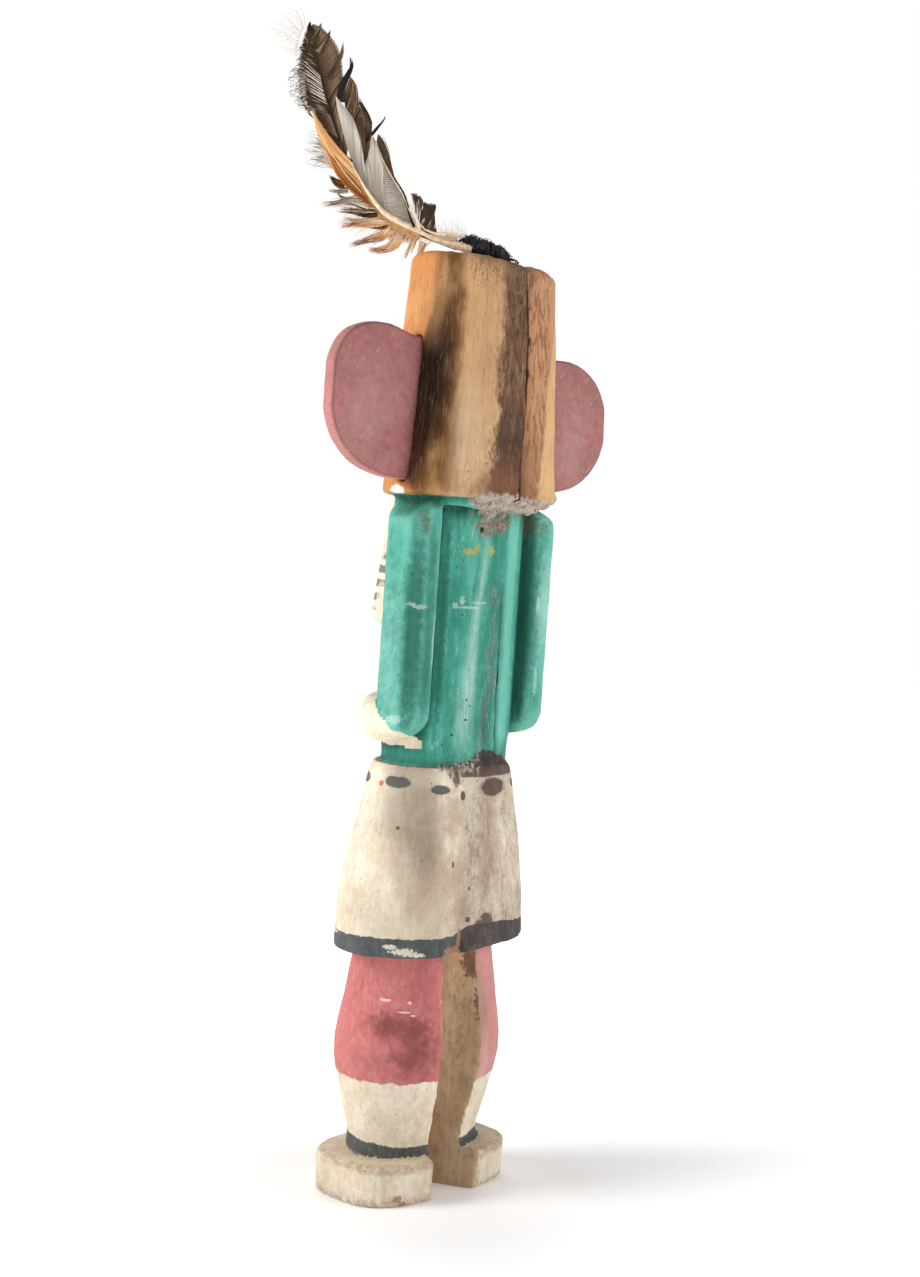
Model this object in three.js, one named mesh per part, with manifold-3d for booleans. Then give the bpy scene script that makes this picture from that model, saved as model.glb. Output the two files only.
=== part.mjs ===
// A carved and painted wooden kachina doll with round tablet ears and a spray of feathers.
//
// Units are millimetres, +Z is up, the face looks along -Y and the doll's own left is +X.
// The origin is on the floor, under the middle of the whole doll, feathers and ears included.
// The body is one piece of root wood. It is drawn upright and then leans back a little, while
// the soles are cut flat and level. The ears, the feathers and the binding are added pieces.

import * as THREE from 'three';
import { mergeVertices } from 'three/addons/utils/BufferGeometryUtils.js';
import Module from 'manifold-3d';

const wasm = await Module();
wasm.setup();

const DEG = Math.PI / 180;
const GAP = 0.3;                 // air between two separate pieces

// ---- driving sizes -------------------------------------------------------------------------

const LEAN = 4 * DEG;            // how far the body leans back over its feet

const HEAD = {                   // the case mask: a tapered drum, wider at the chin
  bottom: 229.3, top: 305, centreY: 4.3, square: 2.2, rim: 2.6, topFall: 1.6,
  stops: [
    { z: 229, wide: 30.8, deep: 23.5 }, { z: 255, wide: 28.7, deep: 22 },
    { z: 278, wide: 27.4, deep: 20.8 }, { z: 305, wide: 25.6, deep: 19.2 },
  ],
};
const RUFF = { bottom: 226.6, top: 229.9, wide: 25.6, deep: 18.8, centreY: 3.6 };
const TORSO = {                  // flat slab of a back above an oval waist
  bottom: 138, top: 227.3, square: 3.2, wide: 22.3, deep: 14.8, centreY: 0.4,
  waistWide: 22.8, waistDeep: 16.2,
};
const ARM = {                    // square upper arms that hang against the sides
  inner: 21.2, outer: 32.2, front: -3, back: 16, top: 227.3, elbow: 151.8,
  shoulderX: 24.5, shoulderSlope: 38, elbowRound: 14,
};
const FOREARM = { middleZ: 156.2, high: 14.4, wide: 12.2, start: 6, bend: -14, reach: -16 };
const BEARD = { top: 230, bottom: 184.6, wide: 16, front: -26.6, back: -8 };
const KILT = {
  bottom: 82, top: 142.8, square: 2.1, hemRise: 1.6,
  stops: [
    { z: 82, wide: 36.8, deep: 22.7, y: -0.8 }, { z: 104, wide: 35, deep: 22.4, y: -1.2 },
    { z: 124, wide: 30.4, deep: 20.8, y: -0.6 }, { z: 142.8, wide: 25.6, deep: 18.7, y: -0.6 },
  ],
};
const LEG = {                    // both legs are drawn as one oval log, then split
  bottom: 6, top: 88, square: 2.1,
  stops: [
    { z: 6, wide: 26.4, deep: 17.6, y: -2.8 }, { z: 18, wide: 24.6, deep: 16.3, y: -2.8 },
    { z: 30, wide: 27.7, deep: 19, y: -2.8 }, { z: 47, wide: 31.1, deep: 22.3, y: -3 },
    { z: 66, wide: 28.4, deep: 19.9, y: -3 }, { z: 88, wide: 25.2, deep: 17, y: -3.2 },
  ],
};
const SPLIT = { half: 9.1, backY: 18.2, angle: 24, slot: 2.4 };
const FOOT = {
  wide: 32.9, deep: 21.4, square: 3, centreY: -2.5, thick: 13.4, edge: 1.3, overhang: 1.9,
};
const EAR = {
  root: 27.6, tip: 62.1, thick: 4.7, back: 6.2, middleZ: 259.3, high: 21.6, low: 25.7,
  rootHigh: 19.4, crown: 42, foot: 30, tongue: 6, bevel: 0.5,
};
const EAR_LEFT = { high: 21.7, fullness: 2.6 };
const EAR_RIGHT = { high: 19.6, fullness: 2 };

// ---- small helpers -------------------------------------------------------------------------

const lerp = (a, b, t) => a + (b - a) * t;
const clamp01 = (t) => Math.min(1, Math.max(0, t));
const smooth = (t) => { const c = clamp01(t); return c * c * (3 - 2 * c); };
const bump = (d, width) => Math.exp(-(d * d) / (width * width));

function raised(value, power) {
  return Math.sign(value) * Math.abs(value) ** power;
}

// A smooth value of one size between its stops, which are listed upwards by z.
function sizeAt(stops, key, z) {
  const last = stops.length - 1;
  let i = 0;
  while (i < last - 1 && z > stops[i + 1].z) i++;
  const slope = (k) => {
    const [a, b] = [stops[Math.max(0, k - 1)], stops[Math.min(last, k + 1)]];
    return (b[key] - a[key]) / (b.z - a.z);
  };
  const span = stops[i + 1].z - stops[i].z;
  const t = clamp01((z - stops[i].z) / span);
  const rise = t * t * (3 - 2 * t);
  const start = t * (1 - t) * (1 - t) * span * slope(i);
  const end = t * t * (t - 1) * span * slope(i + 1);
  return lerp(stops[i][key], stops[i + 1][key], rise) + start + end;
}

// A point on a squared oval. The angle runs from +X towards +Y.
function oval(angle, wide, deep, square, centreY = 0) {
  return [
    wide * raised(Math.cos(angle), 2 / square),
    centreY + deep * raised(Math.sin(angle), 2 / square),
  ];
}

// Closed skin through rings. at(level, angle) gives [x, y, z], levels run upwards.
function skin(levels, around, at) {
  const spots = [];
  for (const level of levels) {
    for (let j = 0; j < around; j++) spots.push(at(level, (j / around) * 2 * Math.PI));
  }
  const faces = [];
  for (let i = 0; i + 1 < levels.length; i++) {
    for (let j = 0; j < around; j++) {
      const a = i * around + j;
      const b = i * around + (j + 1) % around;
      faces.push([a, b, b + around], [a, b + around, a + around]);
    }
  }
  const lastRing = (levels.length - 1) * around;
  for (const [start, up] of [[0, false], [lastRing, true]]) {
    const middle = [0, 1, 2].map((axis) => {
      let sum = 0;
      for (let j = 0; j < around; j++) sum += spots[start + j][axis];
      return sum / around;
    });
    const centre = spots.push(middle) - 1;
    for (let j = 0; j < around; j++) {
      const a = start + j;
      const b = start + (j + 1) % around;
      faces.push(up ? [a, b, centre] : [b, a, centre]);
    }
  }
  if (enclosed(spots, faces) < 0) faces.forEach((face) => face.reverse());
  const geometry = new THREE.BufferGeometry();
  geometry.setAttribute('position', new THREE.Float32BufferAttribute(spots.flat(), 3));
  geometry.setIndex(faces.flat());
  return geometry;
}

// Signed volume inside a closed set of faces; it is negative when they point inwards.
function enclosed(spots, faces) {
  const [a, b, c] = [new THREE.Vector3(), new THREE.Vector3(), new THREE.Vector3()];
  let volume = 0;
  for (const [i, j, k] of faces) {
    a.fromArray(spots[i]);
    b.fromArray(spots[j]);
    c.fromArray(spots[k]);
    volume += a.dot(b.cross(c)) / 6;
  }
  return volume;
}

// Evenly spread levels from bottom to top.
function levels(bottom, top, count) {
  return Array.from({ length: count + 1 }, (_, i) => lerp(bottom, top, i / count));
}

function solid(geometry) {
  const bare = geometry.clone();
  bare.deleteAttribute('normal');
  bare.deleteAttribute('uv');
  const merged = mergeVertices(bare, 1e-4);
  return new wasm.Manifold(new wasm.Mesh({
    numProp: 3,
    vertProperties: new Float32Array(merged.attributes.position.array),
    triVerts: new Uint32Array(merged.index.array),
  }));
}

function toGeometry(manifold) {
  const mesh = manifold.getMesh();
  const geometry = new THREE.BufferGeometry();
  geometry.setAttribute('position', new THREE.BufferAttribute(mesh.vertProperties, 3));
  geometry.setIndex(new THREE.BufferAttribute(mesh.triVerts, 1));
  geometry.computeVertexNormals();
  return geometry;
}

function block(x0, x1, y0, y1, z0, z1) {
  const box = new THREE.BoxGeometry(x1 - x0, y1 - y0, z1 - z0);
  box.translate((x0 + x1) / 2, (y0 + y1) / 2, (z0 + z1) / 2);
  return box;
}

// A flat outline in X and Y, pulled up from z0 to z1.
function prism(outline, z0, z1) {
  const shape = new THREE.Shape(outline.map(([x, y]) => new THREE.Vector2(x, y)));
  const geometry = new THREE.ExtrudeGeometry(shape, { depth: z1 - z0, bevelEnabled: false });
  geometry.translate(0, 0, z0);
  return geometry;
}

function leaned(geometry) {
  return geometry.clone().rotateX(-LEAN);
}

function mirrored(outline, side) {
  const flipped = outline.map(([x, y]) => [x * side, y]);
  return side < 0 ? flipped.reverse() : flipped;
}

// ---- head ----------------------------------------------------------------------------------

// The back of the root keeps its natural hollows: one long hollow near the middle of the
// back, a shallow step on the doll's left, and a proud rib beyond the long crack.
function barkRelief(angle, height) {
  const d = angle / DEG;
  const hollow = 1.7 * bump(d - 84, 9.5) * (0.75 + 0.25 * Math.sin(height * 5 + 1));
  const step = 0.9 * bump(d - 34, 7);
  const rib = 0.8 * bump(d - 106, 8);
  const swell = 0.5 * bump(d - 55, 12);
  return rib + swell - hollow - step;
}

function headSkin() {
  const { bottom, top, rim, stops } = HEAD;
  const turn = [0, 0.35, 0.7, 1].map((t) => t * 90 * DEG);
  const rows = [
    { z: bottom, inset: 1.2 }, { z: bottom + 0.4, inset: 0.3 }, { z: bottom + 1.4, inset: 0 },
    ...levels(bottom + 9, top - rim - 6, 5).map((z) => ({ z, inset: 0 })),
    ...turn.map((q) => ({ z: top - rim * (1 - Math.sin(q)), inset: rim * (1 - Math.cos(q)) })),
  ];
  return skin(rows, 60, ({ z, inset }, angle) => {
    const t = (z - bottom) / (top - bottom);
    const relief = barkRelief(angle, t) * (inset > rim * 0.6 ? 0.5 : 1) - inset;
    const wide = sizeAt(stops, 'wide', z) + relief;
    const deep = sizeAt(stops, 'deep', z) + relief;
    const [x, y] = oval(angle, wide, deep, HEAD.square, HEAD.centreY);
    return [x, y, z - headFall(x, y) * smooth((t - 0.8) / 0.16)];
  });
}

// The saw cut on top is not square: it falls away towards the back and the doll's right.
function headFall(x, y) {
  return HEAD.topFall * ((y - HEAD.centreY) * 0.6 - x * 0.8) / 25;
}

// Eye slits and a mouth, cut shallow into the front of the mask.
function faceCuts() {
  const cuts = [];
  for (const side of [-1, 1]) {
    cuts.push(block(side * 10 - 4.5, side * 10 + 4.5, -40, -16.2, 268, 272));
  }
  cuts.push(block(-4.5, 4.5, -40, -18.6, 246.5, 250.5));
  return cuts;
}

function ruff() {
  return skin([RUFF.bottom, RUFF.top], 40, (z, angle) => {
    const [x, y] = oval(angle, RUFF.wide, RUFF.deep, 2.2, RUFF.centreY);
    return [x, y, z];
  });
}

// ---- torso, arms and beard -----------------------------------------------------------------

function torso() {
  const { bottom, top } = TORSO;
  return skin([...levels(bottom, bottom + 32, 6), top], 48, (z, angle) => {
    const t = smooth((z - bottom - 4) / 26);
    const wide = lerp(TORSO.waistWide, TORSO.wide, t);
    const deep = lerp(TORSO.waistDeep, TORSO.deep, t);
    const square = lerp(2.2, TORSO.square, t);
    const d = angle / DEG;
    const furrow = 0.9 * bump(d - 96, 7) + 0.5 * bump(d - 62, 8) - 0.4 * bump(d - 79, 8);
    const [x, y] = oval(angle, wide, deep - furrow, square, TORSO.centreY);
    return [x, y, z];
  });
}

// Section of one upper arm: a rounded outer lobe, a flute down its back corner and a crisp
// inner back edge beside the groove that parts it from the back.
function armOutline(side) {
  const { inner, outer, front, back } = ARM;
  const outline = [
    [inner - 6, back - 6], [inner - 6, front], [outer - 6, front - 0.2],
    [outer - 2.8, front + 1.4], [outer - 0.5, front + 4.6], [outer, front + 8.6],
    [outer, back - 5.4], [outer - 0.5, back - 4], [outer - 1.4, back - 2.9],
    [outer - 2, back - 1], [outer - 4, back], [outer - 7, back - 0.5],
    [inner + 1, back - 0.4], [inner, back - 1.3], [inner - 0.8, back - 6],
  ];
  return mirrored(outline, side);
}

function upperArm(side) {
  const { inner, outer, front, back, top, elbow, elbowRound, shoulderX, shoulderSlope } = ARM;
  let arm = solid(prism(armOutline(side), elbow, top));
  // the shoulder is cut off at a slope, outwards and a little backwards
  const outward = block(-40, 40, -60, 60, 0, 40);
  outward.rotateY(side * shoulderSlope * DEG);
  outward.translate(side * shoulderX, 0, top);
  const backward = block(-60, 60, -40, 40, 0, 40);
  backward.rotateX(-shoulderSlope * DEG);
  backward.translate(0, back - 3, top);
  arm = arm.subtract(solid(outward)).subtract(solid(backward));
  // a rounded elbow: the back edge curves forward as it comes down
  const middleX = side * (inner + outer - 1.4) / 2;
  const turns = levels(-86, 0, 6).map((q) => ({
    z: elbow + elbowRound * (1 + Math.sin(q * DEG)), sag: 1 - Math.cos(q * DEG),
  }));
  const sleeve = skin([...turns, { z: top + 20, sag: 0 }], 28, ({ z, sag }, angle) => {
    const rear = back + 1 - sag * 11.5;
    const fore = front - 1.5 + sag * 4;
    const [x, y] = oval(angle, 8.2 * (1 - sag) ** 0.5, (rear - fore) / 2, 3.4, (rear + fore) / 2);
    return [middleX + x, y, z];
  });
  return arm.intersect(solid(sleeve));
}

// The forearm comes forward from the elbow and lays the hand on the belly.
function forearm(side) {
  const { middleZ, high, wide, start, bend, reach } = FOREARM;
  const path = new THREE.QuadraticBezierCurve3(
    new THREE.Vector3(side * 25.4, start, middleZ + 0.4),
    new THREE.Vector3(side * 25.8, bend, middleZ),
    new THREE.Vector3(side * 10, reach, middleZ + 1.6));
  const rows = [0, 0.08, ...levels(0.2, 0.8, 5), 0.9, 0.96, 1];
  return skin(rows, 16, (t, angle) => {
    const end = Math.min(t + 0.03, 1.02 - t) / 0.22;
    const round = Math.sqrt(1 - (1 - Math.min(1, end)) ** 2);
    const spot = path.getPoint(t);
    const along = path.getTangent(t);
    const across = new THREE.Vector3(along.y, -along.x, 0).normalize();
    const [u, v] = oval(angle, (wide / 2) * round, (high / 2) * round, 2.5);
    return [spot.x + across.x * u, spot.y + across.y * u, spot.z + v];
  });
}

// The mask's beard hangs over the chest as a thick flap that flares to a rounded foot.
function beard() {
  const { top, bottom, wide, front, back } = BEARD;
  return skin([0, 0.03, 0.08, 0.16, 0.5, 1], 28, (t, angle) => {
    const z = lerp(bottom, top, t);
    const foot = Math.sqrt(1 - (1 - clamp01(t / 0.16)) ** 2) * 0.75 + 0.25;
    const half = lerp(wide, wide - 3, t) * foot;
    const reach = lerp(front, front + 5.2, t) + (1 - foot) * 2;
    const [x, y] = oval(angle, half, (back - reach) / 2, 5, (back + reach) / 2);
    return [x, y, z];
  });
}

// ---- kilt, legs and feet -------------------------------------------------------------------

function kilt() {
  const { bottom, top, stops, square, hemRise } = KILT;
  const rows = [bottom, bottom + 0.8, ...levels(bottom + 7, top - 1.2, 7), top - 0.3, top];
  return skin(rows, 56, (z, angle) => {
    const edge = 0.6 * bump(z - bottom, 0.5) + 1 * bump(z - top, 0.8);
    const d = angle / DEG;
    const hollow = 1.3 * bump(d - 78, 6) + 0.7 * bump(d - 108, 7) + edge;
    const wide = sizeAt(stops, 'wide', z) - hollow;
    const deep = sizeAt(stops, 'deep', z) - hollow;
    const [x, y] = oval(angle, wide, deep, square, sizeAt(stops, 'y', z));
    const rise = hemRise * smooth((10 - x) / 14) * smooth((y + 8) / 16);
    return [x, y, z + rise * clamp01(1 - (z - bottom) / 30)];
  });
}

function legLog() {
  const { bottom, top, stops, square } = LEG;
  return skin([bottom, ...levels(13, top, 12)], 52, (z, angle) => {
    const [x, y] = oval(angle, sizeAt(stops, 'wide', z), sizeAt(stops, 'deep', z), square,
      sizeAt(stops, 'y', z));
    return [x, y, z];
  });
}

// The wedge sawn out between the legs, from behind and from the front, and the thin slot
// where the two wedges meet.
function splitOutline() {
  const { half, backY, angle, slot } = SPLIT;
  const slope = Math.tan(angle * DEG);
  const neck = slot / 2;
  const waistBack = backY - (half - neck) / slope;
  const waistFront = waistBack - 6;
  const far = 34;
  const backWide = half + (far - backY) * slope;
  const frontWide = neck + (far + waistFront) * slope * 0.6;
  return [
    [neck, waistBack], [backWide, far], [-backWide, far], [-neck, waistBack],
    [-neck, waistFront], [-frontWide, -far], [frontWide, -far], [neck, waistFront],
  ];
}

// Both feet are one squared plate, split with the legs. The heels overhang their soles.
function feet() {
  const { wide, deep, square, centreY, thick, edge, overhang } = FOOT;
  const rows = [[0, 0.7], [0.7, 0], [thick - edge, 0], [thick - edge * 0.3, edge * 0.3],
    [thick, edge]];
  return solid(skin(rows, 60, ([z, inset], angle) => {
    const [x, y] = oval(angle, wide - inset, deep - inset, square, centreY);
    return [x, y + overhang * smooth(y / deep) * (z / thick), z];
  }));
}

// ---- the carved figure ---------------------------------------------------------------------

function earSlot(side) {
  const { root, thick, back, middleZ, tongue, low } = EAR;
  const x0 = root - tongue - GAP;
  const reach = [x0, 60].map((x) => x * side).sort((a, b) => a - b);
  const [up] = earHalves(HEAD.stops[0].wide + 1, side);
  return block(reach[0], reach[1], back - thick - GAP, back + GAP,
    middleZ - low - GAP, middleZ + up + GAP);
}

function carveFigure() {
  let head = solid(headSkin());
  for (const cut of faceCuts()) head = head.subtract(solid(cut));
  for (const side of [-1, 1]) head = head.subtract(solid(earSlot(side)));
  let body = solid(torso()).add(solid(ruff())).add(solid(beard()));
  for (const side of [-1, 1]) {
    body = body.add(upperArm(side)).add(solid(forearm(side)));
  }
  const legs = solid(legLog()).subtract(solid(prism(splitOutline(), -20, KILT.bottom)));
  const upper = head.add(body).add(solid(kilt())).add(legs);
  const tilted = solid(leaned(toGeometry(upper)));
  const base = feet().subtract(solid(prism(splitOutline(), -5, 40)));
  const floor = solid(block(-80, 80, -80, 80, -60, 0));
  return tilted.add(base).subtract(floor);
}

// ---- ears ----------------------------------------------------------------------------------

// How far the tablet reaches above and below its tip, at a distance x from the doll's middle.
function earHalves(x, side) {
  const { root, tip, low, rootHigh, crown, foot } = EAR;
  const { high, fullness } = side > 0 ? EAR_LEFT : EAR_RIGHT;
  const round = (from, size, square) =>
    size * (1 - clamp01((x - from) / (tip - from)) ** square) ** (1 / square);
  const rising = lerp(rootHigh, high, smooth((x - root) / (crown - root)));
  return [x < crown ? Math.min(rising, high) : round(crown, high, fullness), round(foot, low, 2.4)];
}

function ear(side) {
  const { root, tip, thick, back, middleZ, tongue, bevel } = EAR;
  const upper = [];
  const lower = [];
  const across = [root - tongue + bevel, root, ...levels(0, 90, 15).map(
    (q) => lerp(root + 3, tip - bevel, Math.sin(q * DEG)))];
  for (const x of across) {
    const [up, down] = earHalves(Math.max(x, root), side);
    upper.push([x, Math.max(0, up - bevel)]);
    lower.push([x, -Math.max(0, down - bevel)]);
  }
  upper.pop();
  const outline = mirrored([...lower, ...upper.reverse()], side);
  const shape = new THREE.Shape(outline.map(([x, z]) => new THREE.Vector2(x, z)));
  const geometry = new THREE.ExtrudeGeometry(shape, {
    depth: thick - 2 * bevel, bevelEnabled: true, bevelThickness: bevel, bevelSize: bevel,
    bevelSegments: 1,
  });
  geometry.rotateX(90 * DEG);
  geometry.translate(0, back - bevel, middleZ);
  return toGeometry(solid(geometry));
}

// ---- feathers ------------------------------------------------------------------------------

// The spray stands in an upright plane that runs from the middle of the mask's flat top
// towards the doll's front left. "out" is measured along that plane, "up" from the mask's top.
const SPRAY = { turn: 43, footY: 4, layer: 2.3, thick: 1.3 };

function sprayPoint(out, up, layer) {
  const turn = SPRAY.turn * DEG;
  return [
    out * Math.cos(turn) + layer * Math.sin(turn),
    SPRAY.footY - out * Math.sin(turn) + layer * Math.cos(turn),
    HEAD.top + up,
  ];
}

// Each feather: its shaft by [out, up] stops, the width of its vane on either side at even
// steps from the end of the bare quill to the tip, and the layer it lies in.
const FEATHERS = {
  feather_dark: {
    shaft: [[9.2, 5.4], [31, 12], [42, 22.5], [50.2, 37.2], [55.7, 51.2], [59.5, 65.2], [61.2, 74]],
    left: [1, 3, 7, 9.6, 8.5, 5.6, 0.6], right: [1, 6, 10, 9.6, 7.2, 5.6, 0.6],
    quill: 0.36, layer: -1,
  },
  feather_rust: {
    shaft: [[9.2, 5.8], [24.8, 10.3], [36.7, 18.8], [45.5, 29.5], [51.8, 51.4]],
    left: [1, 10, 11, 6.5, 5.5, 5.5, 0.6], right: [1, 1.6, 3.4, 5.4, 5.6, 3.4, 0.6],
    quill: 0.28, layer: 1,
  },
  feather_grey: {
    shaft: [[9.2, 7.6], [21, 10.4], [27.3, 17.9], [33.6, 28.4], [39.7, 41]],
    left: [1, 3, 4.6, 5, 3.4, 0.5], right: [1, 2, 2.6, 3, 2.4, 0.5],
    quill: 0.28, layer: 0,
  },
  feather_flag: {
    shaft: [[9.2, 9], [15, 8.9], [19.5, 13.6], [23.4, 22.6]],
    left: [1, 2.6, 3.4, 2.6, 0.6], right: [1, 3.2, 4.2, 3.4, 0.6],
    quill: 0.3, layer: 2,
  },
};

function featherSkin({ shaft, left, right, quill, layer }) {
  const line = new THREE.CatmullRomCurve3(
    shaft.map(([out, up]) => new THREE.Vector3(out, up, 0)), false, 'centripetal');
  const vane = (widths, t) => {
    const stops = widths.map((wide, i) => ({ z: i / (widths.length - 1), wide }));
    return sizeAt(stops, 'wide', clamp01((t - quill) / (1 - quill)));
  };
  const rows = [...levels(0, quill, 4).slice(0, -1), ...levels(quill, 1, 12)];
  return skin(rows, 8, (t, angle) => {
    const spot = line.getPointAt(t);
    const along = line.getTangentAt(t);
    const right0 = Math.cos(angle) > 0;
    const across = Math.cos(angle) * vane(right0 ? right : left, t);
    const depth = Math.sin(angle) * (t < quill ? 0.9 : SPRAY.thick / 2);
    const out = spot.x - along.y * across;
    const up = spot.y + along.x * across;
    return sprayPoint(out, up, layer * SPRAY.layer + depth);
  });
}

// The wound lump that ties the quills down on the mask's top.
function binding() {
  return skin(levels(-86, 86, 8), 16, (q, angle) => {
    const round = Math.cos(q * DEG) ** 0.6;
    const along = 0.3 + Math.sin(q * DEG) * 8;
    const across = Math.cos(angle) * 5.2 * round;
    const high = Math.sin(angle) * 4 * round;
    return sprayPoint(along, 5.2 + 0.2 * along + high, across);
  });
}

// ---- the scene -----------------------------------------------------------------------------

const paint = {
  wood: { color: 0xc8a070, roughness: 0.75 },
  ear: { color: 0xa5646a, roughness: 0.8 },
  dark: { color: 0x4a3a2e, roughness: 0.7 },
  rust: { color: 0xc88a55, roughness: 0.7 },
  grey: { color: 0xb9b2a8, roughness: 0.7 },
  pitch: { color: 0x1d1817, roughness: 0.45 },
};

function piece(name, geometry, look) {
  const mesh = new THREE.Mesh(geometry, new THREE.MeshStandardMaterial({ ...look, metalness: 0 }));
  mesh.name = name;
  return mesh;
}

const doll = new THREE.Group();
doll.add(piece('figure', toGeometry(carveFigure()), paint.wood));

const upright = new THREE.Group();
upright.rotation.x = -LEAN;
upright.add(piece('ear_left', ear(1), paint.ear));
upright.add(piece('ear_right', ear(-1), paint.ear));
upright.add(piece('binding', toGeometry(solid(binding())), paint.pitch));
const looks = {
  feather_dark: paint.dark, feather_rust: paint.rust,
  feather_grey: paint.grey, feather_flag: paint.dark,
};
for (const [name, sizes] of Object.entries(FEATHERS)) {
  upright.add(piece(name, toGeometry(solid(featherSkin(sizes))), looks[name]));
}
doll.add(upright);

// Everything above is drawn around the middle of the feet. The doll is then moved so that the
// origin is under the middle of its overall length and breadth, on the floor.
doll.updateMatrixWorld(true);
const extent = new THREE.Box3().setFromObject(doll, true);
doll.position.set(-(extent.min.x + extent.max.x) / 2, -(extent.min.y + extent.max.y) / 2, 0);
const whole = new THREE.Group();
whole.add(doll);

export default whole;
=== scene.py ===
"""A carved and painted wooden kachina doll with tablet ears and a leaning spray of feathers.

Lengths in the settings are in millimetres where a name ends in _mm, and meshes are in metres.
The body is drawn in an upright frame of its own, which leans back over level soles. In that
frame +Z is up, the face looks along -Y and the doll's own left is +X.
"""

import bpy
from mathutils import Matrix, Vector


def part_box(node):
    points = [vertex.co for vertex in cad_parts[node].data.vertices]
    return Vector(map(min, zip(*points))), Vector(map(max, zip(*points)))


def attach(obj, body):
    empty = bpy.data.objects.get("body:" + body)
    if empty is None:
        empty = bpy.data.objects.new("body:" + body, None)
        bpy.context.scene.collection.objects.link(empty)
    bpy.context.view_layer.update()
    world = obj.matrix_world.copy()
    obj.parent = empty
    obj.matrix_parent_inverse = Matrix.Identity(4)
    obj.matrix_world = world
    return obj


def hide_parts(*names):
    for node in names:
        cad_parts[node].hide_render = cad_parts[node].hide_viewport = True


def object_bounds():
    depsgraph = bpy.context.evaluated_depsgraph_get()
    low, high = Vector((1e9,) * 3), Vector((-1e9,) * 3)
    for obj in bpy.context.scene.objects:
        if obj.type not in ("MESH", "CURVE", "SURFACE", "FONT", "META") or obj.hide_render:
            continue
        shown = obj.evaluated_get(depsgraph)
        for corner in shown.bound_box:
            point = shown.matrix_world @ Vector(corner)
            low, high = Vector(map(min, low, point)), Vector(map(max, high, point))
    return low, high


bl_info = {
    "name": "Carved Kachina Doll",
    "version": (1, 0, 0),
    "blender": (4, 5, 0),
    "location": "View3D > Sidebar > Doll",
    "description": "Carves, paints and feathers a wooden kachina doll around its solid model",
    "category": "Object",
}

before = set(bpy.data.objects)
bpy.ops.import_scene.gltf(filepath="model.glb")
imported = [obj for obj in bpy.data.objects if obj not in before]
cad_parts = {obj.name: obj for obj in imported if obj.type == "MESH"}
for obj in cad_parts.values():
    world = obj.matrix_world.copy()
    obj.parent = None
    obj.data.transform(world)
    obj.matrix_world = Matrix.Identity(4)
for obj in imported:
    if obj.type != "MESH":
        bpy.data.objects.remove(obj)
CAD_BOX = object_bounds()

import math
from types import SimpleNamespace

import bpy
import numpy as np
from mathutils import Matrix, Vector, noise

MM = 0.001
LEAN = math.radians(4)            # how far the body leans back
HEAD_TOP = 305                    # height of the mask's flat top in the upright frame
HEAD_MIDDLE_Y = 4.3               # the middle of the mask's section
CHIN = 229.2                      # where the mask ends and the torso begins
WAIST = 142.9                     # the top edge of the kilt
HEM = 82                          # its lower edge
FOOT_TOP = 13.5                   # height of the block feet above the floor
SOLE = 0.9                        # nothing is carved this close to the floor
WELD = 0.01                       # points closer than this are merged
TOE_Y = -23.9                     # the toes, before the doll was centred over the origin
SHIFT_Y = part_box("figure")[0].y / MM - TOE_Y
SPRAY_TURN = math.radians(43)     # the upright plane that holds the feathers
SPRAY_LAYER = 2.3                 # from one feather's layer to the next
FLOOR_SIZE = 6                    # in metres
FLOOR_GAP = 0.1                   # from the floor up to the soles


# ---- the upright frame ----------------------------------------------------------------------

def stand(points):
    """Upright-frame points in mm to places on the standing doll, in metres."""
    x, y, z = np.moveaxis(np.asarray(points, float), -1, 0)
    back = y * math.cos(LEAN) + z * math.sin(LEAN) + SHIFT_Y
    high = z * math.cos(LEAN) - y * math.sin(LEAN)
    return np.stack([x, back, high], -1) * MM


def upright(places):
    """The reverse of stand(): places in metres to upright-frame points in mm."""
    x, y, z = np.moveaxis(np.asarray(places, float) / MM, -1, 0)
    y = y - SHIFT_Y
    return np.stack([x, y * math.cos(LEAN) - z * math.sin(LEAN),
                     y * math.sin(LEAN) + z * math.cos(LEAN)], -1)


def spray_point(out, up, depth=0.0):
    """A point of the feather spray: out along its plane, up from the mask's top, in mm."""
    sine, cosine = math.sin(SPRAY_TURN), math.cos(SPRAY_TURN)
    return out * cosine + depth * sine, 4 - out * sine + depth * cosine, HEAD_TOP + up


# ---- settings -------------------------------------------------------------------------------

def paint(name, red, green, blue, description):
    """A colour setting, given as the 0 to 255 values of a colour chart."""
    linear = [((v / 255 + 0.055) / 1.055) ** 2.4 if v > 10 else v / 255 / 12.92
              for v in (red, green, blue)]
    return bpy.props.FloatVectorProperty(
        name=name, description=description, subtype="COLOR", size=3, min=0, max=1,
        default=linear)


def number(name, default, description):
    """A setting that can't go below nothing."""
    return bpy.props.FloatProperty(name=name, description=description, default=default,
                                   min=0.0)


def angle(name, degrees, description):
    """An angle, given in degrees and held in radians."""
    return bpy.props.FloatProperty(name=name, description=description, subtype="ANGLE",
                                   default=math.radians(degrees))


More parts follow.
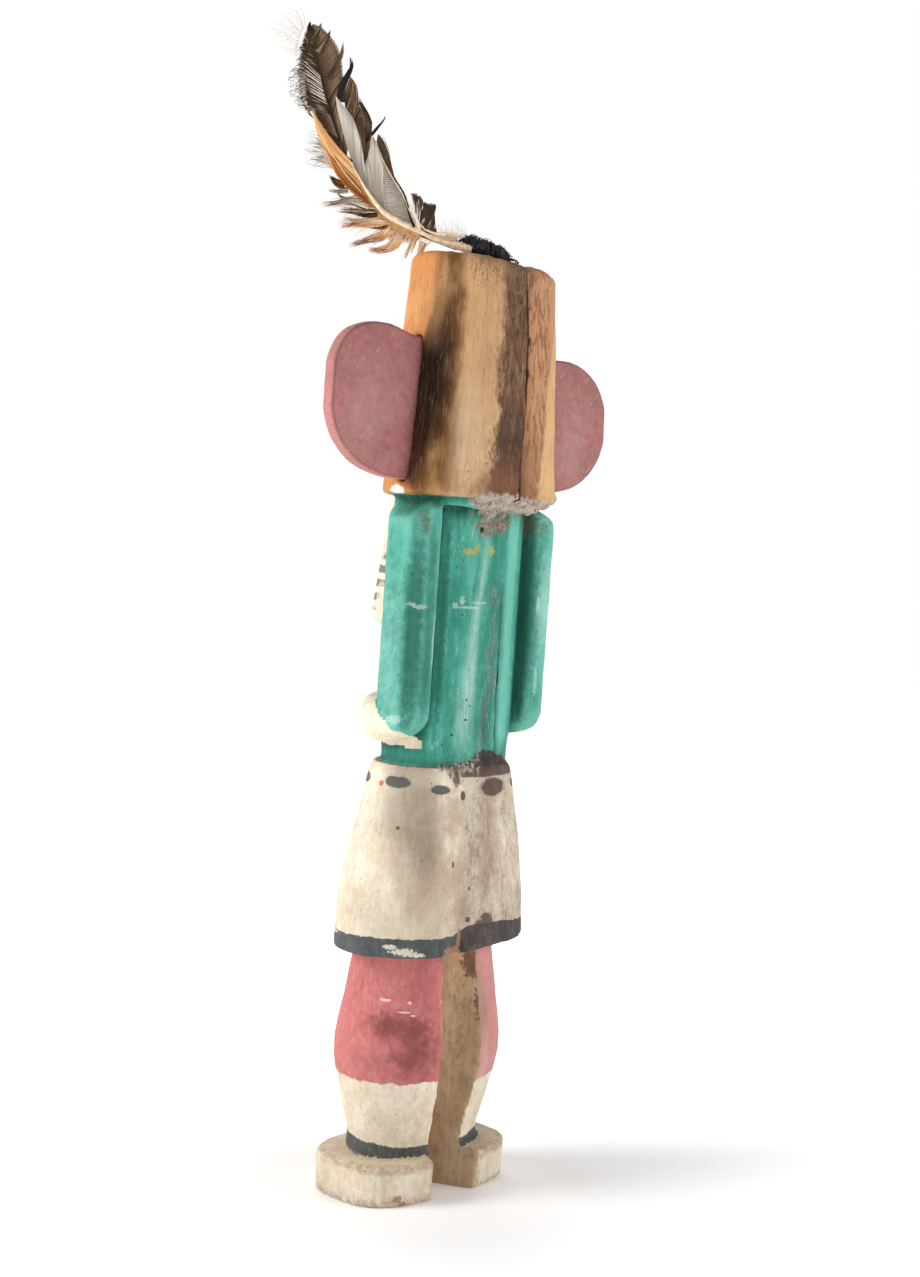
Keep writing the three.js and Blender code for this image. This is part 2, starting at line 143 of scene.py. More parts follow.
class DollPaint(bpy.types.PropertyGroup):
    """The colours of the painted and bare surfaces."""
    ochre: paint("Ochre", 196, 130, 72, "Paint on the sides of the mask")
    tan: paint("Tan wood", 202, 160, 114, "Bare scraped root wood")
    bark: paint("Bark", 110, 76, 51, "Dark bark left in the hollow of the root")
    rib: paint("Rib wood", 188, 134, 94, "Orange wood of the rib beside the long crack")
    straw: paint("Straw wood", 216, 172, 122, "Pale wood at the mask's right edge")
    # this colour also paints the left ear's shadow on the mask
    stain: paint("Stain", 34, 17, 8, "Brown stain beside the left ear")
    turquoise: paint("Turquoise", 64, 152, 132, "Paint on the torso and sleeves")
    # this colour also paints highlight on the lit strip of the back and on the swells
    turquoise_rubbed_and_lit: paint("Light turquoise", 122, 198, 182, "Where that paint is rubbed")
    # this colour also paints shade in the hollows and down the sleeves' corners
    turquoise_thick_and_shaded: paint("Deep turquoise", 24, 88, 72, "Where that paint lies thick")
    cream: paint("Cream", 244, 234, 214, "Lime white on the kilt, hands and beard")
    aged: paint("Aged cream", 202, 184, 156, "That white where it is rubbed and dusty")
    grime: paint("Grime", 112, 92, 72, "Dust and handling dirt")
    rose: paint("Rose", 202, 118, 116, "Paint on the calves")
    rose_deep: paint("Deep rose", 142, 66, 64, "Where that paint is smudged")
    slate: paint("Slate", 74, 78, 78, "Blue-grey paint of the hem and anklets")
    umber: paint("Umber", 64, 49, 46, "The hem on the right side")
    ear: paint("Ear rose", 172, 112, 110, "Dusty rose of the tablet ears")
    ear_rim: paint("Ear rim", 200, 134, 128, "Their rubbed edges")
    plaster: paint("Filler", 184, 169, 154, "Rough filler under the mask")


class DollCarving(bpy.types.PropertyGroup):
    """Sizes of the carved surface."""
    grain_mm: number("Surface grain", 0.93, "Mesh size of the carved body in mm")
    ear_grain_mm: number("Ear grain", 0.6, "Mesh size of the ears in mm")
    knife_mm: number("Knife marks", 0.22, "Depth of the knife's facets in mm")
    crack_mm: number("Crack depth", 1.1, "Depth of the long cracks in mm")
    band_mm: number("Hem band", 6.7, "Height of the dark band round the kilt's hem in mm")


class DollFeathers(bpy.types.PropertyGroup):
    """Colours of the feathers and the yarn."""
    horn: paint("Horn", 22, 17, 15, "Black shaft of the dark feather")
    ivory: paint("Ivory quill", 250, 232, 202, "Quill of the rust feather")
    brown: paint("Feather brown", 94, 70, 48, "Vane of the dark feather")
    brown_light: paint("Light feather brown", 160, 134, 108, "Its outer locks")
    black: paint("Feather black", 34, 28, 24, "Dark locks and speckles")
    white: paint("Feather white", 246, 238, 226, "Pale vanes and wisps")
    grey: paint("Feather grey", 168, 158, 144, "Shaded part of the pale vanes")
    rust: paint("Rust", 196, 112, 48, "Orange edge of the rust feather")
    apricot: paint("Apricot", 244, 196, 138, "Its paler barbs")
    yarn: paint("Yarn", 30, 25, 25, "Dark binding")
    yarn_tail: paint("Yarn tail", 78, 46, 36, "Its reddish end")


class DollStage(bpy.types.PropertyGroup):
    """The camera, the floor and the lights."""
    lens_mm: number("Lens", 48.316, "Focal length in mm on a 36 mm sensor")
    distance_mm: number("Camera distance", 575.8, "From the doll's foot to the camera in mm")
    height_mm: number("Camera height", 185.6, "Above the floor in mm")
    side: angle("Camera side", 43, "Turn of the camera from straight behind the doll")
    roll: angle("Camera roll", 1.05, "Tilt of the picture")
    pitch: angle("Camera pitch", 0.3, "How far the camera looks down")
    shift: number("Picture shift", 0.02797, "Sideways shift of the picture")
    paper: paint("Backdrop", 255, 255, 255, "Colour of the floor and the room")
    room: number("Room light", 0.36, "Strength of the soft light from all around")
    key: number("Key light", 11.0, "Power of the large light on the left, in watts")
    fill: number("Fill lights", 3.6, "Power of the other two lights, in watts")

GROUPS = {"doll_paint": DollPaint, "doll_carving": DollCarving, "doll_feathers": DollFeathers,
          "doll_stage": DollStage}


def settings(key):
    """One group of settings as plain values, with its colours as tuples."""
    held = getattr(bpy.context.scene, key)
    values = {name: getattr(held, name) for name in held.__annotations__}
    return SimpleNamespace(**{name: tuple(value) if hasattr(value, "__len__") else value
                              for name, value in values.items()})


# ---- shader building ------------------------------------------------------------------------

class Value:
    """A node's output, to be reckoned with. | takes the larger value, ~ turns a mask round."""

    def __init__(self, shader, socket):
        self.shader, self.socket = shader, socket

    def __add__(self, other):
        return self.shader.math("ADD", self, other)

    def __sub__(self, other):
        return self.shader.math("SUBTRACT", self, other)

    def __rsub__(self, other):
        return self.shader.math("SUBTRACT", other, self)

    def __mul__(self, other):
        return self.shader.math("MULTIPLY", self, other)

    def __truediv__(self, other):
        return self.shader.math("DIVIDE", self, other)

    def __or__(self, other):
        return self.shader.math("MAXIMUM", self, other)

    def __abs__(self):
        return self.shader.math("ABSOLUTE", self)

    def __invert__(self):
        return self.shader.math("SUBTRACT", 1.0, self, clamp=True)

    __radd__, __rmul__ = __add__, __mul__

    def above(self, at, soft=0.3):
        """0 below at, 1 above it, with an edge that is soft wide; both may be values too."""
        return self.shader.node("MapRange", 0, {
            "Value": self, "From Min": at - soft, "From Max": at + soft},
            interpolation_type="SMOOTHSTEP")

    def below(self, at, soft=0.3):
        return ~self.above(at, soft)

    def within(self, low, high, soft=0.3):
        return self.above(low, soft) * self.below(high, soft)

    def shaken(self, shake, reach):
        """The value, moved to and fro by a noise so that an edge at it wanders."""
        return (shake - 0.5) * reach + self

    def curve(self, *stops):
        """A line through stops of value and result, level beyond the first and the last."""
        result = stops[0][1]
        for (low, a), (high, b) in zip(stops, stops[1:]):
            result = result + self.shader.node("MapRange", 0, {
                "Value": self, "From Min": low, "From Max": high, "To Max": b - a})
        return result


class Shader:
    """Places nodes in one node tree and wires them, so that a finish reads as a sum."""

    def __init__(self, tree):
        self.tree, self.place = tree, None

    def node(self, kind, output, inputs=(), **values):
        """Adds a node and gives one of its outputs, or all of them where output is None."""
        made = self.tree.nodes.new("ShaderNode" + kind)
        for key, value in values.items():
            setattr(made, key, value)
        for key, value in dict(inputs).items():
            self.feed(made.inputs[key], value)
        if output is None:
            return {socket.name: Value(self, socket) for socket in made.outputs}
        return Value(self, made.outputs[output])

    def feed(self, socket, value):
        if isinstance(value, Value):
            self.tree.links.new(value.socket, socket)
        else:
            socket.default_value = (*value, 1.0) if socket.type == "RGBA" else value

    def math(self, operation, *values, clamp=False):
        return self.node("Math", 0, enumerate(values), operation=operation, use_clamp=clamp)

    def mix(self, amount, under, over, blend="MIX"):
        return self.node("Mix", 2, {0: amount, 6: under, 7: over}, data_type="RGBA",
                         blend_type=blend)

    def noise(self, scale, detail=3.0, rough=0.55, thin=1, warp=0.0, place=None):
        """Noise from 0 to 1. scale is in waves per mm, and thin draws it out upwards."""
        place = place or self.place
        if thin != 1:
            place = self.node("Mapping", 0, {"Vector": place, "Scale": (1, 1, thin)})
        return self.node("TexNoise", 0, {"Vector": place, "Scale": scale, "Detail": detail,
                                         "Roughness": rough, "Distortion": warp})

    def spots(self, *patches, torn=0.6, soft=0.14):
        """Patches, each given as a middle and three half widths in upright mm.

        torn breaks up their outlines and soft blurs them.
        """
        found = 0.0
        for patch in patches:
            middle, size = patch[:3], patch[3:]
            spot = self.node("VectorMath", 0, {0: self.place, 1: middle}, operation="SUBTRACT")
            spot = self.node("VectorMath", 0, {0: spot, 1: size}, operation="DIVIDE")
            far = self.node("VectorMath", "Value", {0: spot}, operation="LENGTH")
            shake = self.noise(1.2 / min(size[0], size[2]) ** 0.8, 5, 0.65)
            found = far.below(shake * (torn * 2) + (1 - torn), soft) | found
        return found

    def attribute(self, name, output="Fac"):
        return self.node("Attribute", output, attribute_name=name)

    def use(self, tree, **inputs):
        """Adds a shared effect, read at this shader's own place, and gives its outputs."""
        if self.place:
            inputs["Place"] = self.place
        return self.node("Group", None, inputs, node_tree=tree)


class Finish(Shader):
    """A new material, its place in the upright frame and the colour laid on it so far."""

    def __init__(self, name, rough, coat=0.0, specular=0.18, placed=True):
        self.material = bpy.data.materials.new(name)
        self.material.use_nodes = True
        super().__init__(self.material.node_tree)
        self.surface = self.tree.nodes["Principled BSDF"].inputs
        self.surface["Roughness"].default_value = rough
        self.surface["Coat Weight"].default_value = coat
        self.surface["Specular IOR Level"].default_value = specular
        if placed:
            found = self.use(place_group())
            self.place, self.x, self.y, self.z, self.turn = (
                found[key] for key in ("Place", "X", "Y", "Z", "Turn"))

    def lay(self, amount, over):
        """Lays a colour over the one that is there."""
        self.colour = self.mix(amount, self.colour, over)

    def finish(self, height, amounts, dirt, relief=0.12):
        """Lays dirt and darker hollows over the colour and gives the surface its fine relief."""
        cloud, hollows, specks = amounts
        grime = self.use(grime_group(), Amount=cloud, Hollows=hollows, Specks=specks)
        self.lay(grime["Dirt"], self.mix(0.55, self.colour, dirt, "MULTIPLY"))
        self.lay(grime["Dots"], tuple(c * 0.25 for c in dirt))
        return self.done(grime["Dots"] * -0.8 + height, 0.6, relief)

    def done(self, height, strength, depth_mm):
        self.feed(self.surface["Base Color"], self.colour)
        self.feed(self.surface["Normal"], self.node("Bump", 0, {
            "Height": height, "Strength": strength, "Distance": depth_mm * MM}))
        return self.material


def group(name, inputs, outputs, build):
    """A shared shader effect. build(shader, inputs) returns a value for each output."""
    if name in bpy.data.node_groups:
        return bpy.data.node_groups[name]
    tree = bpy.data.node_groups.new(name, "ShaderNodeTree")

    def add(key, way, default=0.0):
        kind = "NodeSocketVector" if key == "Place" else "NodeSocketFloat"
        made = tree.interface.new_socket(key, in_out=way, socket_type=kind)
        if key != "Place":
            made.default_value = default

    for key, default in inputs.items():
        add(key, "INPUT", default)
    for key in outputs:
        add(key, "OUTPUT")
    way_in, way_out = tree.nodes.new("NodeGroupInput"), tree.nodes.new("NodeGroupOutput")
    s = Shader(tree)
    given = {key: Value(s, way_in.outputs[key]) for key in inputs}
    s.place = given.get("Place")
    for key, value in zip(outputs, build(s, given)):
        s.feed(way_out.inputs[key], value)
    return tree


def place_group():
    """Object coordinates turned into the upright frame, in mm, with the turn round the mask."""
    def build(s, _):
        place = s.node("Mapping", 0, {
            "Vector": s.node("TexCoord", "Object"), "Scale": (1 / MM,) * 3,
            "Rotation": (LEAN, 0, 0),
            "Location": (0, -SHIFT_Y * math.cos(LEAN), -SHIFT_Y * math.sin(LEAN))})
        axes = s.node("SeparateXYZ", None, {0: place})
        turn = s.math("ARCTAN2", axes["Y"] - HEAD_MIDDLE_Y, axes["X"]) * (180 / math.pi)
        return place, axes["X"], axes["Y"], axes["Z"], turn
    return group("Upright place", {}, ("Place", "X", "Y", "Z", "Turn"), build)


def grime_group():
    """Darker hollows and creases, cloudy patches of dirt, and fine dark specks."""
    def build(s, given):
        # hollows and creases darkened by how far the surface sinks there
        hollow = s.math("MULTIPLY", s.attribute("edge"), -1.0, clamp=True)
        patch = s.noise(0.09, 5, 0.65).above(0.55, 0.14) * given["Amount"]
        cells = s.node("TexVoronoi", None, {"Vector": s.place, "Scale": 0.55})
        fleck = cells["Distance"].below(s.noise(0.11, 2) * 0.2, 0.05)
        dots = fleck * cells["Color"].above(0.72, 0.02) * given["Specks"]
        return s.math("MAXIMUM", patch, hollow * given["Hollows"], clamp=True), dots
    return group("Grime", {"Place": None, "Amount": 0.4, "Hollows": 0.8, "Specks": 0.6},
                 ("Dirt", "Dots"), build)


def grain_group():
    """Root wood: long fibres along the height, as a value and as a height for bump."""
    def build(s, given):
        fibre = s.noise(0.9, 4, 0.6, 0.035, 0.3)
        both = fibre * 0.6 + s.noise(0.28, 3, 0.5, 0.06, 0.4) * 0.4
        return both, s.noise(2.6, 3, 0.7, 0.12) * 0.35 + both
    return group("Wood grain", {"Place": None}, ("Streaks", "Height"), build)


def brush_group():
    """Hand-brushed old paint: thin streaks, rubbed patches and small scuffs."""
    def build(s, given):
        streak = s.noise(0.9, 4, 0.65, 0.16, 0.6)
        fine = s.noise(2.4, 5, 0.75, 0.35, 0.2)
        cloud = s.noise(0.11, 5, 0.65, 0.6)
        mottle = s.noise(0.45, 5, 0.7, 0.7)
        thin = cloud * 0.38 + streak * 0.2 + mottle * 0.24 + fine * 0.18
        scratch = s.noise(1.6, 3, 0.6, 0.1, 1.2)
        scuff = scratch.above(0.64, 0.02) * cloud.above(0.5, 0.1)
        return thin, scuff, fine * 0.5 + streak
    return group("Brushed paint", {"Place": None}, ("Thin", "Scuffs", "Height"), build)


# ---- finishes of the carved body --------------------------------------------------------------

# heights in mm, with the turn round the mask in degrees at which a colour starts there
BROWN_ENDS = ((226, 30), (246, 31), (265, 32), (278, 34), (290, 34), (301, 31))
HOLLOW_STARTS = ((232, 57), (242, 62), (266, 64), (279, 64), (300, 67))
STRAW_STARTS = ((236, 109), (250, 117), (263, 121), (280, 136), (300, 150))


def lay_filler(s, p):
    """Rough grey filler in the joint under the chin, on the mask and on the neck below it."""
    crust = s.noise(0.4, 6, 0.75)
    lumps = s.noise(0.13, 3)
    high = s.turn.curve((44, 228), (60, 231), (140, 230)).shaken(crust, 9)
    low = s.turn.curve((40, 229), (50, 226.6), (62, 224.4), (84, 222.8), (100, 225))
    amount = s.z.below(high, 0.7) * s.z.above(low.shaken(crust, 9), 0.7)
    amount = amount * s.turn.within(44, 153, 3)
    fine = s.noise(1.3, 5, 0.75)
    grey = s.mix(fine.above(0.48, 0.1), (0.27, 0.21, 0.17), p.plaster)
    grey = s.mix(lumps.above(0.54, 0.1), grey, (0.44, 0.37, 0.3))
    chinks = s.noise(0.6, 3, 0.5, warp=2.0).below(0.36, 0.03)
    grey = s.mix(chinks, grey, (0.03, 0.022, 0.018))
    s.lay(amount, grey)


def mask_finish(p):
    """Bare scraped root wood behind, ochre paint on the sides and the front."""
    s = Finish("mask_root_wood", 0.62)
    z = s.z
    grain = s.use(grain_group())
    wander = s.noise(0.12, 3, 0.55, 0.45)
    shake = s.noise(0.8, 5, 0.7, 0.22, 0.5)
    ragged = s.noise(0.42, 6, 0.72, 0.5, 1.0)
    turn = s.turn.shaken(wander, 8).shaken(shake, 7)
    rough = turn.shaken(ragged, 22)
    clump = s.noise(0.14, 5, 0.6, 0.7, 1.0)
    rougher = rough.shaken(clump, 26)
    # ochre, then brown behind the left ear, partly its painted shadow, then pale scraped wood
    brown_end = z.curve(*BROWN_ENDS)
    fibre = grain["Streaks"].above(0.5, 0.2)
    s.colour = s.mix(turn.above(12, 9) * 0.97, p.ochre, (0.16, 0.062, 0.016))
    warm = wander.above(0.56, 0.12) * 0.4
    s.lay(warm, (0.78, 0.46, 0.2))
    pale_wood = s.mix(z.curve((236, 0.9), (262, 0.4), (296, 0.0)), p.tan, (0.66, 0.42, 0.235))
    pale_wood = s.mix(fibre * 0.35, pale_wood, (0.4, 0.235, 0.125))
    cloud = s.spots((18, 20, 248, 5, 6, 14), torn=1.2, soft=0.9) * 0.22
    pale_wood = s.mix(cloud, pale_wood, (0.66, 0.56, 0.46))
    s.lay(turn.above(brown_end, z.curve((240, 7), (285, 4))), pale_wood)
    edge_of_pale = turn.within(50, 72, 8) * ragged.above(0.47, 0.14) * 0.5
    s.lay(edge_of_pale, (0.42, 0.225, 0.11))
    # the dark hollow beside the long crack: bark, with paler scraped fibres over it
    bark = s.mix(ragged.above(0.47, 0.13), (0.05, 0.025, 0.014), p.bark)
    bark = s.mix(shake.above(0.55, 0.08) * 0.4, bark, (0.36, 0.215, 0.13))
    deeper = z.below(258, 8) * 0.6
    bark = s.mix(deeper, bark, (0.05, 0.026, 0.016))
    rust = z.below(238, 6) * ragged.above(0.4, 0.2) * 0.8
    bark = s.mix(rust, bark, (0.17, 0.066, 0.034))
    s.lay(rougher.above(z.curve(*HOLLOW_STARTS), 5), bark)
    # the orange rib right of the crack, streaked with red, and straw wood at its edge
    rib = s.mix(clump.above(0.48, 0.2), (0.5, 0.275, 0.15), p.rib)
    streak = shake.above(0.52, 0.05) * turn.below(126, 6) * 0.7
    rib = s.mix(streak, rib, (0.19, 0.075, 0.035))
    under = z.below(246, 9) * turn.below(117, 8) * 0.55
    rib = s.mix(under, rib, (0.27, 0.125, 0.06))
    s.lay(turn.above(95, 1.5), rib)
    s.lay(rough.above(z.curve(*STRAW_STARTS), 2.5) * 0.92, p.straw)
    s.lay(turn.above(150, 7), p.ochre)
    # a tangle of brown fibres along the top edge behind, and a rusty patch low down
    hair = s.noise(0.5, 5, 0.75, 0.45, 3.0)
    tangle = ((z - 300) * 0.02 + hair).above(0.5, 0.06) * turn.within(36, 104, 8)
    s.lay(tangle * z.above(284, 9) * 0.8, (0.2, 0.11, 0.06))
    low = s.spots((8, 24, 232, 12, 9, 8), torn=1.4, soft=0.6) * 0.5
    s.lay(low, (0.24, 0.1, 0.05))
    # stain and painted ear shadow by the left ear, deepest behind its root, fading down and round
    ends = z.curve((228, 10), (238, 16), (250, 24), (276, 29))
    starts = z.curve((230, 8), (238, -4), (243, -8), (268, -8), (274, -5), (280, 6), (290, 14),
                     (300, 20))
    depth = z.curve((222, 0.5), (234, 0.86), (250, 0.97), (272, 1), (282, 0.66), (292, 0.3),
                    (300, 0.2))
    s.lay(turn.below(ends, 8) * turn.above(starts, 4) * depth, p.stain)
    # long dark and light hairlines over everything
    line = s.noise(1.9, 3, 0.6, 0.05, 0.5)
    s.lay(line.above(0.6, 0.04) * 0.3, (0.16, 0.085, 0.04))
    s.lay(line.below(0.38, 0.04) * 0.12, (0.75, 0.56, 0.38))
    # lime white at the lower left corner and in a thin line under the chin, then filler
    white = s.spots((31, 2.2, 230.2, 3.6, 3.4, 1.8), (26.5, 8, 228.4, 9, 5, 0.8),
                    (28.6, 7.6, 277.6, 1.0, 1.6, 1.4), torn=0.9)
    s.lay(white, p.cream)
    lay_filler(s, p)
    # the long crack with its branches, the eye slits and the mouth
    gap = s.x.shaken(shake, 1.6)
    crack_x = z.curve((230, -0.2), (242, -0.6), (252, -2.1), (280, -2.4), (301, -1))
    crack = abs(gap - crack_x).below(wander * 0.62, 0.16) * s.y.above(10, 1)
    s.lay(crack, (0.03, 0.018, 0.012))
    flat = abs(s.x)
    eyes = z.within(267.4, 272.6, 0.3) * flat.within(5, 15, 0.4)
    mouth = z.within(246, 251, 0.3) * flat.below(5, 0.4)
    s.lay((eyes | mouth) * s.y.below(-15, 0.3), (0.035, 0.025, 0.02))
    relief = crack * -1.5 + grain["Height"]
    relief = ragged * (turn.above(60, 6) * 1.4) + relief
    return s.finish(relief, (0.3, 0.5, 1.0), p.grime, 0.3)


# heights in mm, with the middle of a worn streak across the back
WORN_PATH = ((148, -2), (158, -3.4), (169, -5), (190, -5.8), (200, -5), (214, -3))
PALE_PATH = ((150, 7), (160, 6.2), (169, 5.4), (190, 4), (200, 2.4), (214, 0.5))


def turquoise_paint(s, p):
    """Brushed turquoise: painted shade in the hollows, pale rubbed chalk with painted highlight on proud
    parts.
    """
    brush = s.use(brush_group())
    half_deep = s.mix(0.5, p.turquoise_thick_and_shaded, p.turquoise)
    s.colour = s.mix(brush["Thin"].above(0.47, 0.13), half_deep, p.turquoise)
    swell = s.attribute("swell")
    # painted shade: the deep colour in broad hollows, mixed with the brush's own tone
    hollow_shade_and_brush_tone = s.math("MULTIPLY_ADD", swell, -1.6, (0.53 - brush["Thin"]) * 1.5, clamp=True)
    s.lay(hollow_shade_and_brush_tone, p.turquoise_thick_and_shaded)
    # rubbed chalky paint on proud parts and edges, which also paints their highlight
    proud = swell * 1.1 + s.attribute("edge") * 0.3
    chalk = proud + (brush["Thin"] - 0.42) * 2.6
    s.lay(chalk.above(0.66, 0.5) * 0.6, p.turquoise_rubbed_and_lit)
    s.lay(brush["Scuffs"] * 0.35, (0.55, 0.72, 0.66))
    return brush


def torso_finish(p):
    """Turquoise on the torso and sleeves, worn to grey wood down the right of the back."""
    s = Finish("turquoise_paint", 0.72)
    brush = turquoise_paint(s, p)
    x, z = s.x, s.z
    behind = s.y.above(9, 2)
    # painted highlight: a paler strip down the lit facet at the right edge of the back
    strip = x.within(-14.6, -9.2, 1.2) * behind * z.above(150, 4)
    s.lay(strip * 0.6, p.turquoise_rubbed_and_lit)
    # the worn path down the back: a chalky streak, then grey wood with dark dashes
    fibre = s.noise(0.75, 6, 0.75, 0.2, 0.7)
    cloud = s.noise(0.16, 4, 0.6, 0.5)
    path = x - z.curve(*WORN_PATH)
    pale = abs(x - z.curve(*PALE_PATH))
    pale = pale.below(z.curve((150, 3.4), (175, 2.6), (190, 1.2)), 2.2)
    chalky = pale * z.within(152, 216, 8) * behind * fibre.above(0.42, 0.16) * 0.78
    s.lay(chalky, (0.4, 0.64, 0.57))
    near = ~(abs(path) / 6.5)
    near = near * z.within(146, 202, 6)
    waist = ~((z - 143) / x.curve((-13, 14), (4, 12), (9, 9), (14, 0.5)))
    side = s.spots((0, 15, 223, 14, 8, 6), torn=0.8, soft=0.5) * 0.5
    wear = cloud * 0.4 + fibre * 0.6
    reach = near * 0.2 | waist * 0.24 | side * 0.26
    bare = (wear + reach).above(0.665, 0.06) * behind
    grain = s.noise(0.9, 6, 0.75)
    wood = s.mix(fibre.above(0.52, 0.1), (0.065, 0.12, 0.1), (0.19, 0.31, 0.265))
    wood = s.mix(grain.above(0.56, 0.05) * 0.6, wood, (0.05, 0.06, 0.05))
    s.lay(bare * 0.72, wood)
    flecks = s.noise(1.5, 5, 0.8).above(0.58, 0.03) * (near | waist) * behind
    s.lay(flecks * 0.7, (0.035, 0.06, 0.05))
    crust = s.spots((2.4, 15, 220.4, 4.4, 4, 3.2), (-5, 15, 221.6, 4, 4, 2.8), torn=1.3)
    brown = s.mix(grain.above(0.5, 0.1), (0.11, 0.06, 0.045), (0.36, 0.27, 0.21))
    s.lay(crust * 0.75, brown)
    lay_filler(s, p)
    # dark brown creeping up over the waist at the right of the back, and grey filler beside it
    creep = x.curve((-16, 143), (-12, 146.4), (-2, 147.4), (3, 146), (9, 144))
    creep = z.below(creep.shaken(cloud, 7), 0.4) * behind
    filler = s.mix(x.above(0, 3), p.umber, p.plaster)
    s.lay(creep * 0.9, s.mix(grain.above(0.53, 0.06), p.umber, filler))
    # painted shade down the outer corner of either sleeve and in the hollows beside them
    valley_shade = s.spots((30, 14, 186, 3.4, 3, 36), (16.6, 13.6, 190, 1.5, 2.4, 32),
                     (-31.2, 13.2, 186, 2.0, 2.4, 34), (-21, 14, 192, 3.4, 3, 36),
                     torn=0.7, soft=0.6)
    flute_shade = s.spots((24.6, 15.4, 186, 3.6, 3, 35), torn=0.8, soft=0.8)
    valley_shade = valley_shade * 0.8 | flute_shade * 0.5
    s.lay(valley_shade, p.turquoise_thick_and_shaded)
    # painted highlight on the lit outer bulges of the sleeves
    lit_bulges = s.spots((36, 4, 178, 4, 7, 24), (-27, 15.8, 196, 2.4, 3, 14), torn=0.9, soft=0.8)
    s.lay(lit_bulges * 0.5, (0.42, 0.68, 0.63))
    # rubbed scratches, a fleck of yellow, dirt on the shoulders and small dark pits
    scuffs = s.spots(
        (10.1, 15, 196.6, 1.0, 2, 1.1), (12.6, 14.1, 194.8, 0.9, 2, 1.0),
        (2.5, 15.1, 196, 3.4, 2, 0.5), (7, 15.1, 194.4, 5, 2, 0.4),
        (29.1, 15.5, 194.2, 3.0, 2, 0.7), (30, 12, 194.8, 1.6, 3, 0.7),
        (-24.3, 15.5, 196, 0.8, 2, 2.6), (-25.4, 15.5, 171, 0.8, 2, 5),
        (22, 15, 183, 0.8, 2, 9), (34, 4, 178, 1.0, 4, 8), (32.2, 10, 158, 2, 3, 1.6),
        (34.6, 6, 160, 1.6, 3, 1.4), torn=1.5)
    s.lay(scuffs * 0.5, (0.5, 0.66, 0.6))
    yellow = s.spots((5.3, 15.3, 213.9, 0.9, 2, 1.4), (8.7, 15.2, 212.2, 3.2, 2, 0.9),
                     (-1.6, 15.2, 213, 1.6, 2, 1.6), torn=1.7)
    s.lay(yellow * 0.75, (0.42, 0.36, 0.06))
    dirt = s.spots((28.6, 14, 220.6, 1.6, 4, 3.4), (31, 6, 226, 4, 6, 1.6),
                   (-22, 10, 222, 6, 7, 3.4), torn=1.2, soft=0.5)
    s.lay(dirt * 0.62, (0.1, 0.085, 0.06))
    pits = s.spots((9.8, 15, 192, 0.3, 2, 0.3), (5.8, 16, 164.6, 0.5, 2, 0.3),
                   (4.2, 16, 162.7, 0.35, 2, 0.3), (6, 16, 158.2, 0.6, 2, 0.35),
                   (10.9, 15.5, 153.3, 0.4, 2, 0.35), (14, 15, 150, 0.35, 2, 0.3), torn=0.9)
    # the long crack and the nail hole
    shake = s.noise(0.6, 5, 0.7, 0.2)
    gap = x.shaken(shake, 2.4)
    crack_x = z.curve((148, -8), (158, -8.1), (171, -8.9), (184, -8.4), (200, -8))
    crack = abs(gap - crack_x).below(cloud * 0.55, 0.14) * behind * z.below(197, 5) * shake.above(0.4, 0.06)
    hole = s.spots((3.9, 15.2, 219.5, 0.9, 3, 0.9), torn=0.2)
    dark = crack | hole | pits
    s.lay(dark, (0.02, 0.02, 0.018))
    relief = dark * -1.5 + brush["Height"]
    return s.finish(relief, (0.2, 0.7, 1.0), p.grime, 0.2)


def lime_white(s, p):
    """Old lime white: warm stains, rubbed patches and a fine grey crackle."""
    brush = s.use(brush_group())
    s.colour = s.mix(brush["Thin"].above(0.46, 0.16), p.aged, p.cream)
    warm = s.noise(0.07, 4, 0.6)
    s.lay(warm.above(0.55, 0.12) * 0.3, (0.66, 0.47, 0.27))
    crackle = s.noise(1.1, 6, 0.8, 0.6, 0.8)
    s.lay(crackle.above(0.56, 0.05) * 0.22, (0.33, 0.26, 0.19))
    return brush


def hand_finish(p):
    """Lime white hands below the sleeves' ragged turquoise edge."""
    s = Finish("hand_paint", 0.75)
    brush = lime_white(s, p)
    return s.finish(brush["Height"], (0.3, 0.6, 0.3), p.grime)


def beard_finish(p):
    """The white beard flap with thin dark dashes down its edges."""
    s = Finish("beard_paint", 0.75)
    brush = lime_white(s, p)
    along = s.math("FRACT", s.z / 4.6)
    wave = s.noise(0.5, 3)
    side = (abs(s.x) + wave).within(14.7, 15.5, 0.2)
    dash = side * along.within(0.2, wave * 0.5 + 0.5, 0.06) * s.z.within(191, 213, 0.6)
    s.lay(dash * 0.8, p.slate)
    return s.finish(brush["Height"], (0.4, 0.6, 0.4), p.grime)


KILT_MARKS = (                    # oval dabs under the waist
    (25.6, -9.6, 137.2, 5, 3.4, 1.8), (25.4, 6.2, 137.5, 5, 4.6, 1.8),
    (15.2, 16, 135.9, 3.3, 4, 1.5), (-6.6, 17.7, 136.2, 6.4, 4, 3.0),
    (-20, 10, 136.5, 4.5, 5, 1.9), (-26, -4, 137.0, 4.5, 5, 1.9),
    (14, -16, 137, 4.4, 5, 1.9), (-6, -19, 137, 4.4, 5, 1.9))


